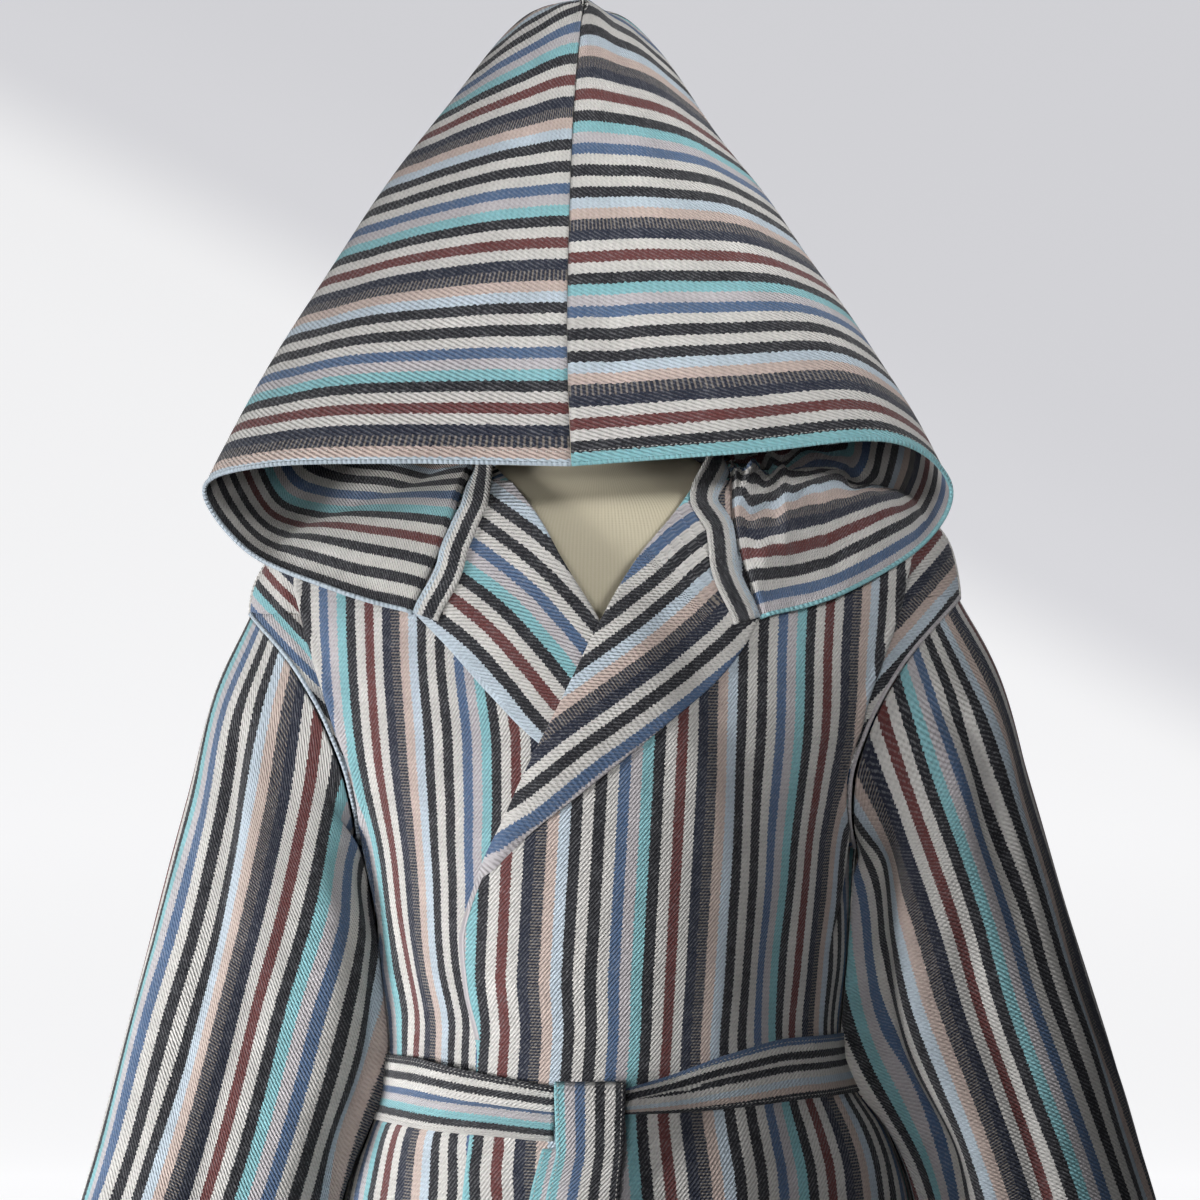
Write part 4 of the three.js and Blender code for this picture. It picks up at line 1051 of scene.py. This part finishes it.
# share along the rim and away from it at both ends, half width, depth
HOOD_CREASES = [
    (0.98, 0.1, 0.74, 0.15, 6, -6), (0.98, 0.19, 0.74, 0.29, 8, 6), (0.97, 0.26, 0.72, 0.41, 7, -7),
    (0.97, 0.05, 0.82, 0.06, 6, 5), (0.91, 0.1, 0.83, 0.33, 6, -5), (0.88, 0.3, 0.74, 0.52, 8, 5),
    (0.8, 0.06, 0.66, 0.2, 8, 4),
]


def hood_half(side):
    rows = []
    for points, share in zip(HOOD[side], HOOD_SHARES):
        end = neckline_point(side, np.array(share), LAPEL_TO)
        rows.append(np.array([*map(np.array, points), end], float))
    s, q = np.linspace(0, 1, HOOD_ROWS)[:, None], np.linspace(0, 1, HOOD_COLUMNS)[None, :]
    across = q[0] * (1.25 - 0.25 * q[0])
    grid = catmull(np.array([catmull(row, across) for row in rows]), s[:, 0])
    grid[:, :-1] = clear_of_body(grid[:, :-1], HOOD_CLEARANCE)
    grid[:, -1] = clear_of_body(grid[:, -1], HOOD_END_CLEARANCE)
    # small folds, none at the seams or the rim
    n = normals_of(grid) * (-1 if side == LEFT else 1)
    down = run_along(grid, 0)
    along = run_along(grid, 1)
    hold = (smoothstep(q, 0, 0.05) * (1 - smoothstep(q, 0.955, 1)) * smoothstep(s, 0.0, 0.05)
            * (1 - smoothstep(s, 0.9, 1)))
    move = HOOD_RIPPLE * ripple(down, along, 21 + side, 110)
    # a soft uneven trough beside the centre seam
    depth = TROUGH * (0.7 + 0.8 * ripple(down, along * 0, 63 + side, 100))
    move -= np.exp(-((along - TROUGH_PLACE) / TROUGH_WIDTH) ** 2) * depth
    cowl = smoothstep(q, 0.5, 0.68)
    if side == RIGHT:
        move += COWL_RIPPLE * cowl * ripple(down, along * 0.6, 35, 85)
    else:
        near_rim = 1 - smoothstep(s, 0.45, 0.8)
        sharp = 1 - 2.6 * np.sqrt(np.abs(ripple(down * 1.25, along * 0.55, 33, 74)))
        move += COWL_RIPPLE * cowl * sharp * near_rim * smoothstep(s, 0.03, 0.16)
        move += COWL_CRUMPLE * cowl * ripple(down, along, 37, 34) * near_rim
        # sharp folds where the cowl bunches beside the tape
        for q0, s0, q1, s1, width, depth in HOOD_CREASES:
            gap, _ = from_line(np.stack([q + 0 * s, s + 0 * q], -1) * HOOD_SPAN,
                               np.array([(q0, s0), (q1, s1)]) * HOOD_SPAN)
            move += depth * np.exp(-(gap / width) ** 2)
    grid = grid + n * (np.clip(move, -8, 7) * hold)[..., None]
    grid[:, 0, 0] += side * SEAM_GAP / 2
    grid[-1, :, 0] += side * SEAM_GAP / 2
    down = run_along(grid, 0)
    rim = mix(*HOOD_RIM_STRIPE[side], smoothstep(q, 0.3, 0.6)) * STRIPE
    u = rim + side * down * HOOD_SPREAD
    length = np.broadcast_to(along.mean(0)[None, :], u.shape)
    uv = np.stack([u, length], -1)
    inside = np.stack([down * LINING_SPREAD, length], -1)
    node = "hood_" + SIDES[side]
    return piece(node + "_cloth", grid, [(None, uv)], CLOTH, node, turned=side == LEFT,
                 inner=(HOOD_LINING[side], inside))


def seam_angle(side, z):
    shares = np.linspace(0, 0.5, 400)
    angle, _ = neckline_place(side, np.interp(z, NECKLINE[side].z(shares), shares))
    return angle if side == LEFT else angle - 2 * math.pi


ROLL_WIDTH = 3.0
LAPEL_TRIM = {RIGHT: 0, LEFT: 3.4}  # how much of the first stripe is turned under the edge
ROLL_END_Z = 1092
LAPEL_ROLL, LAPEL_RIPPLE, EDGE_SINK = 2.6, 0.9, 2.7  # mm
LAPEL_COLUMNS = 44


def lapel(side):
    edge, free, line = EDGE[side], LAPEL_EDGE[side], NECKLINE[side]
    top, chest = float(line.z(0.42)), float(line.z(0))
    z = [np.linspace(top, chest, 50, endpoint=False), np.linspace(chest, free.first, 90)]
    if side == LEFT:
        z.append(np.linspace(free.first, ROLL_END_Z, 40)[1:])
    z = np.concatenate(z)[:, None]
    inner = front_angle(edge.x(z), z)
    width = np.maximum(side * (free.x(z) - edge.x(np.maximum(z, free.first))), ROLL_WIDTH)
    outer = np.where(z > chest, seam_angle(side, z), front_angle(edge.x(z) + side * width, z))
    t = np.linspace(0, 1, LAPEL_COLUMNS)[None, :]
    angle = mix(inner, mix(outer, inner, 0.012), t)
    # the lapel rolls: it stands a little off the chest between its edges
    roll = LAPEL_ROLL * np.sin(math.pi * t) * smoothstep(chest - z + 40, 0, 60)
    roll = roll + LAPEL_RIPPLE * ripple(angle * 120, z, 51 + side, 80) * np.sin(math.pi * t)
    grid = front_point(side, angle, z)
    n = normals_of(grid)
    n = n * np.sign(np.sum(n * np.array([0, -1, 0]), -1, keepdims=True))
    narrow = 1 - smoothstep(width, ROLL_WIDTH, 16)
    if side == LEFT:
        roll = roll * (1 - narrow) - EDGE_SINK * (1 - smoothstep(width, ROLL_WIDTH, 40))
    else:
        roll = np.maximum(roll, 0)
    grid = grid + n * roll[..., None]
    edge_points = catmull(np.array(LAPEL_LINE[side], float), np.linspace(0, 1, 90))
    gap, place = from_line(grid[..., [0, 2]], edge_points)
    if side == LEFT:
        gap = mix(gap, np.broadcast_to(t * ROLL_WIDTH, gap.shape), narrow)
    uv = np.stack([gap + LAPEL_TRIM[side], place], -1)
    if side == RIGHT:
        grid, uv = grid[:, ::-1], uv[:, ::-1]
    node = "lapel_" + SIDES[side]
    return piece(node + "_cloth", grid, [(None, uv)], LAPEL_CLOTH[side], node, raise_by=LAPEL_FROM)


TAPE_ROWS, TAPE_COLUMNS = 90, 9


def tape_row(side, share, wide):
    """Points across the tape; at the neck it stands up and leans in over the seam."""
    seam, ahead, back = (neckline_point(side, np.array(min(max(at, 0), 1)), TAPE_FROM)
                         for at in (share, share + 0.03, share - 0.03))
    out = out_of_body(side, *neckline_place(side, share))
    inward = unit(np.cross(ahead - back, out) * -side)
    rise = float(smoothstep(share, 0.3, 0.6))
    way = unit(mix(inward, np.array([0, 0, 1.0]), rise))
    axis = unit(np.array([-seam[0], -seam[1], 0]))
    start = seam + way * 0.5 + axis * TAPE_SETBACK * rise
    crown = 0.7 * (1 - rise) * np.sin(math.pi * wide) * out
    return start + way * TAPE_WIDTH * wide + crown


def neck_tape():
    wide = np.linspace(0, 1, TAPE_COLUMNS)[:, None]
    shares = np.linspace(0, 1, TAPE_ROWS)
    right, left = ([tape_row(side, share, wide) for share in shares] for side in SIDES)
    grid = np.array(right + left[::-1][1:])
    run = run_along(grid, 0)
    uv = np.stack([np.broadcast_to(wide[:, 0] * TAPE_WIDTH, run.shape), run], -1)
    return piece("neck_tape_cloth", grid, [(None, uv)], TAPE_CLOTH, "neck_tape", turned=True)


# ---- Sash
SASH_COLUMNS, SASH_ROWS = 360, 26
PLEAT, BELLY, SASH_RIPPLE = 1.1, 1.5, 0.5  # mm
KNOT_COLUMNS, KNOT_ROWS = 73, 46
TAIL_COLUMNS, TAIL_ROWS, STRAP_ROWS = 34, 120, 26
TAIL_BELLY, TAIL_RIPPLE, STRAP_CUP = 1.4, 1.6, 1.6  # mm


def sash_lift(x):
    return WRAP_LIFT * (1 - smoothstep(-x, 98, 152)) * (1 - smoothstep(x, 138, 178))


def sash_wrap():
    start = float(front_angle(KNOT_RIGHT - 1.5, SASH.top(SASH.first)))
    end = 2 * math.pi + float(front_angle(KNOT_LEFT + 1.5, SASH.top(SASH.last)))
    angle = np.linspace(start, end, SASH_COLUMNS)[None, :]
    t = np.linspace(0, 1, SASH_ROWS)[:, None]
    degrees = angle / DEG
    z = mix(SASH.top(degrees), SASH.bottom(degrees), t)
    plain = body_ring(angle, z, 0)
    lift = np.where(np.sin(angle) < 0, sash_lift(plain[..., 0]), 0)
    # a lengthwise pleat below the middle, deeper near the knot, and a belly between the edges
    near = sum(np.exp(-((degrees - knot) / 40) ** 2) for knot in (SASH.first, SASH.last))
    place = (t - 0.46 - 0.05 * np.sin(angle * 2)) / 0.09
    pleat = -PLEAT * np.exp(-place ** 2) * (0.25 + near)
    belly = BELLY * (0.6 + near) + SASH_RIPPLE * ripple(angle * 140, z * 2, 61, 60)
    grid = body_ring(angle, z, lift + pleat + belly * np.sin(math.pi * t))
    run = run_along(grid, 1)
    uv = np.stack([np.broadcast_to(t * SASH_WIDTH, run.shape), run], -1)
    # the left part's last stripe paints the under ply at the lower edge, in painted shade
    whole = piece("sash_wrap_cloth", grid, [(None, uv)], SASH_CLOTH[LEFT], "belt_wrap",
                  wall=SASH_WALL, raise_by=WALL + SASH_GAP)
    # the stripes change order at the centre back
    whole.data.materials.append(SASH_CLOTH[RIGHT])
    index = np.zeros((grid.shape[0] - 1, grid.shape[1] - 1), np.int32)
    index[:, int(np.argmin(np.abs(degrees[0] - 90))):] = 1
    whole.data.polygons.foreach_set("material_index", index.reshape(-1))
    return whole


def sash_knot():
    tall, deep = (KNOT_TOP - KNOT_BOTTOM) / 2, KNOT_DEPTH / 2
    turns = np.linspace(0, 2 * math.pi, KNOT_COLUMNS)
    x = np.linspace(KNOT_LEFT, KNOT_RIGHT, KNOT_ROWS)[:, None]

    def rounded(value):
        return np.sign(value) * np.abs(value) ** 0.7

    edge = np.minimum(np.minimum(x - KNOT_LEFT, KNOT_RIGHT - x) / 5, 1)
    scale = 0.80 + 0.20 * np.sin(edge * math.pi / 2)
    dents = 1 - 0.035 * (1 + np.cos((x - KNOT_LEFT) / 48 * 2 * math.pi * 3))
    y = -(KNOT_BACK + deep) - scale * deep * rounded(np.cos(turns[:-1])) * dents
    z = KNOT_Z + scale * tall * rounded(np.sin(turns[:-1]))
    rows = np.stack([x + 0 * y, y, z], -1)
    first, last = rows[0].mean(0), rows[-1].mean(0)
    closing = [mix(rows[0], first, k) for k in (0.98, 0.6, 0.25)]
    opening = [mix(rows[-1], last, k) for k in (0.25, 0.6, 0.98)]
    grid = np.array([*closing, *rows, *opening])
    v = np.broadcast_to(turns[None, :] * 12, (len(grid), len(turns)))
    u = (grid[:, :1, 0] - KNOT_LEFT) / (KNOT_RIGHT - KNOT_LEFT) * TAIL_WIDTH + 0 * v
    uv = np.stack([u, v], -1)
    obj = to_mesh("sash_knot_cloth", grid, [(None, uv)], TAIL_CLOTH, 0, closed=True)
    attach(obj, "belt_knot")
    return obj


def sash_tail(name):
    """A tail; the over one is the strap that comes over the knot and falls."""
    tail = TAILS[name]
    over = name == "over"
    strap_top = KNOT_TOP + 0.4
    z = np.linspace(tail.last, tail.first, TAIL_ROWS)
    if over:
        z = np.concatenate([np.linspace(strap_top, tail.last, STRAP_ROWS, endpoint=False), z])
    z = z[:, None]
    t = np.linspace(0, 1, TAIL_COLUMNS)[None, :]
    held = np.clip(z, tail.first, tail.last)
    top = smoothstep(z, tail.last - 6, KNOT_TOP)
    left = mix(tail.left(held), KNOT_LEFT - 0.6, top)
    right = mix(tail.right(held), KNOT_RIGHT + 0.6, top)
    x = mix(left, right, t)
    grid = front_point(LEFT, front_angle(x, z), z)
    wave = (TAIL_BELLY + TAIL_RIPPLE * ripple(x * 2, z, 71, 90)) * np.sin(math.pi * t)
    ease = 1 - smoothstep(z, 960, 1015)
    y = grid[..., 1] - (WALL + tail.standoff(held) + np.maximum(wave, 0) * ease)
    if over:
        # over the knot the strap is flat, bent back at the top and cupped at its edges
        face = -(KNOT_BACK + KNOT_DEPTH + 0.5)
        rounded = np.clip((strap_top - z) / 6.5, 0, 1)
        bent = face + 7.5 * (1 - np.sqrt(1 - (1 - rounded) ** 2))
        bent = bent + STRAP_CUP * np.abs(2 * t - 1) ** 3
        y = mix(y, bent, smoothstep(z, KNOT_BOTTOM - 26, KNOT_BOTTOM + 6))
    grid = np.stack([x, y, z + 0 * y], -1)
    run = run_along(grid, 0)
    uv = np.stack([np.broadcast_to(t * TAIL_WIDTH, run.shape), run], -1)
    return piece(f"sash_tail_{name}_cloth", grid, [(None, uv)], TAIL_CLOTH, f"belt_tail_{name}",
                 wall=1.6 if over else SASH_WALL)


# ---- Dress form
FORM_COLUMNS = 160
FORM_GIRTH = 1000  # mm of jersey round the form, for its ribs


def dress_form():
    heights = [np.linspace(FORM.first, 1420, 90, endpoint=False), np.linspace(1420, FORM.last, 60)]
    z = np.concatenate(heights)[:, None]
    angle = np.linspace(0, 2 * math.pi, FORM_COLUMNS, endpoint=False)[None, :]
    depth = np.where(np.sin(angle) < 0, FORM.front(z), FORM.back(z))
    grid = np.stack([FORM.side(z) * np.cos(angle), depth * np.sin(angle), z + 0 * angle], -1)
    low, high = grid[0], grid[-1]
    bottom = [mix(np.array([0, 0, FORM.first]), low, k) for k in (0.02, 0.5, 0.9)]
    top = [mix(np.array([0, 0, FORM.last]), high, k) for k in (0.9, 0.5, 0.02)]
    grid = np.array([*bottom, *grid, *top])[::-1]
    v = run_along(grid, 0).mean(1)[:, None]
    u = np.linspace(0, FORM_GIRTH, FORM_COLUMNS + 1)[None, :]
    uv = np.stack(np.broadcast_arrays(u, v), -1)
    obj = to_mesh("form_body", grid, [(None, uv)], JERSEY, 0, closed=True)
    attach(obj, "form_torso")
    return obj


# ---- Build
built = {"front_" + name: front_panel(side) for side, name in SIDES.items()}
built["back"] = back_panel()
for part, make in (("sleeve", sleeve), ("hood", hood_half), ("lapel", lapel)):
    for side, name in SIDES.items():
        built[f"{part}_{name}"] = make(side)
built["neck_tape"] = neck_tape()
built["sash_wrap"] = sash_wrap()
built["sash_knot"] = sash_knot()
for name in TAILS:
    built["sash_tail_" + name] = sash_tail(name)
built["form"] = dress_form()

# Rows of a panel that run down the shoulder, round the armhole and down the side.
SHOULDER = slice(0, SHOULDER_ROWS + 1)
ARMHOLE = slice(SHOULDER_ROWS, SHOULDER_ROWS + ARMHOLE_ROWS)
SIDE_SEAM = slice(SHOULDER_ROWS + ARMHOLE_ROWS - 1, None)
COLUMNS = {RIGHT: "first_column", LEFT: "last_column"}
HEM_STITCHES, CUFF_STITCHES, HOOD_STITCHES, TAPE_STITCHES, SASH_STITCHES = 25, 22, 9, 2.2, 2.6
ON_CLOTH = 0.1
for side, rim_stripe, arm_stripe in ((RIGHT, 5, 5), (LEFT, 12, 11)):
    name, back = SIDES[side], "back_cloth"
    hood, front, arm = (f"{part}_{name}_cloth" for part in ("hood", "front", "sleeve"))
    line, up = edge_line(hood, "first_row", 0, -WALL / 2)
    roll("hood_rim_" + name, hood, line, up, 1.7, rim_stripe)
    # felled seams cover the joints of the panels and the sleeve
    line, up = edge_line(front, COLUMNS[side], 0, -0.2)
    roll("armhole_front_" + name, front, line[ARMHOLE], up[ARMHOLE], 1.5, arm_stripe)
    line, up = edge_line(back, COLUMNS[-side], 0, -0.2)
    for seam, rows, radius, stripe in (("armhole_back_", ARMHOLE, 1.5, arm_stripe),
                                       ("shoulder_seam_", SHOULDER, 1.5, 1),
                                       ("side_seam_", SIDE_SEAM, 1.2, 1)):
        roll(seam + name, back, line[rows], up[rows], radius, stripe)
    stitches("stitches_" + name, front, [
        (*edge_line(hood, "first_row", HOOD_STITCHES, ON_CLOTH), False),
        (*edge_line(arm, "last_row", CUFF_STITCHES, ON_CLOTH), True),
        (*edge_line(front, "last_row", HEM_STITCHES, ON_CLOTH), False),
    ])
COLUMN_PAIR, ROW_PAIR = ("first_column", "last_column"), ("first_row", "last_row")
for name, owner, rows in (
    ("tape", "neck_tape_cloth", [("neck_tape_cloth", COLUMN_PAIR, TAPE_STITCHES)]),
    ("sash", "sash_wrap_cloth", [("sash_wrap_cloth", ROW_PAIR, SASH_STITCHES),
                                 ("sash_tail_over_cloth", COLUMN_PAIR, SASH_STITCHES),
                                 ("sash_tail_under_cloth", COLUMN_PAIR, SASH_STITCHES)]),
    ("back", "back_cloth", [("back_cloth", ("last_row",), HEM_STITCHES)]),
):
    stitches("stitches_" + name, owner, [(*edge_line(sewn, edge, inset, ON_CLOTH), False)
                                         for sewn, edges, inset in rows for edge in edges])

for node in ("form_neck_cap", "hood_rod", "hood_finial", "stand_pole", "stand_base"):
    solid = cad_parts[node].data
    solid.materials.clear()
    solid.materials.append(STEEL)
    shade_smooth(solid)
    solid.set_sharp_from_angle(angle=40 * DEG)

# ---- Camera, light and floor
FRAME_WIDTH = 0.876  # metres of the object's plane that the picture takes in
CAMERA_DISTANCE = 3.0
CAMERA_Z = 1.401
SENSOR = 36
camera = link("camera", bpy.data.cameras.new("camera"))
camera.location = (0, -CAMERA_DISTANCE, CAMERA_Z)
camera.rotation_euler = (math.pi / 2, 0, 0)
camera.data.sensor_width = SENSOR
camera.data.lens = SENSOR * CAMERA_DISTANCE / FRAME_WIDTH
camera.data.clip_end = 30
bpy.context.scene.camera = camera


# name, place, aim, size, power and spread: narrow beams reach the robe and not the wall
for name, place, aim, size, power, spread in (
    ("key", (-2.4, -1.1, 0.90), (-0.05, 0, 1.03), 0.8, 6.3, 41),
    ("hood", (1.0, -2.0, 2.3), (0.10, 0, 1.75), 0.5, 1.40, 22),
    ("front", (-0.50, -2.5, 1.35), (-0.11, 0, 1.17), 0.8, 0.74, 21),
):
    data = bpy.data.lights.new(name, "AREA")
    data.size, data.energy, data.spread = size, power, spread * DEG
    light = link(name, data)
    light.location = place
    light.rotation_euler = (Vector(aim) - Vector(place)).to_track_quat("-Z", "Y").to_euler()

FLOOR_FRONT, WALL_Y, WALL_TOP, WALL_HALF, CORNER = -5.0, 7.0, 8.0, 9.0, 0.8
bend = [(WALL_Y + CORNER * math.sin(a), CORNER - CORNER * math.cos(a))
        for a in np.linspace(0, math.pi / 2, 14)]
profile = [(FLOOR_FRONT, 0.0), *bend, (WALL_Y + CORNER, WALL_TOP)]
stage_mesh = bpy.data.meshes.new("backdrop")
stage_mesh.from_pydata(
    [(x, y, z) for y, z in profile for x in (-WALL_HALF, WALL_HALF)], [],
    [(2 * i, 2 * i + 1, 2 * i + 3, 2 * i + 2) for i in range(len(profile) - 1)])
shade_smooth(stage_mesh)
backdrop = link("backdrop", stage_mesh)
paint = Nodes("backdrop_paint")
x, y, z = paint.split(paint.place())
# painted window light below a slanting line on the wall and painted shade above it; the wall glows
# with these colours as painted light, and the unseen floor is dark
lit, _ = paint.node("ShaderNodeValToRGB", {0: (x * -0.5 + 1.975 - z) * 0.833 + 0.5}, [
    (0.0, (0.72, 0.72, 0.75, 1)), (0.42, (0.75, 0.75, 0.78, 1)), (0.72, (0.97, 0.97, 0.98, 1)),
    (1.0, (0.98, 0.98, 0.99, 1))])
lit.socket.node.color_ramp.interpolation = "EASE"
glow = (y * 1.25 - 6.9).clamp(0.02, 1) * 0.83
stage_mesh.materials.append(paint.shade({
    "Base Color": paint.mix(0.65, lit, (0, 0, 0, 1)), "Emission Color": lit,
    "Emission Strength": glow, "Roughness": 0.95,
}))

world = bpy.data.worlds.new("studio")
bpy.context.scene.world = world
world.use_nodes = True
sky = world.node_tree.nodes["Background"].inputs
sky["Color"].default_value = (0.94, 0.96, 1.0, 1)
sky["Strength"].default_value = 0.08
bpy.context.scene.view_settings.view_transform = "Standard"
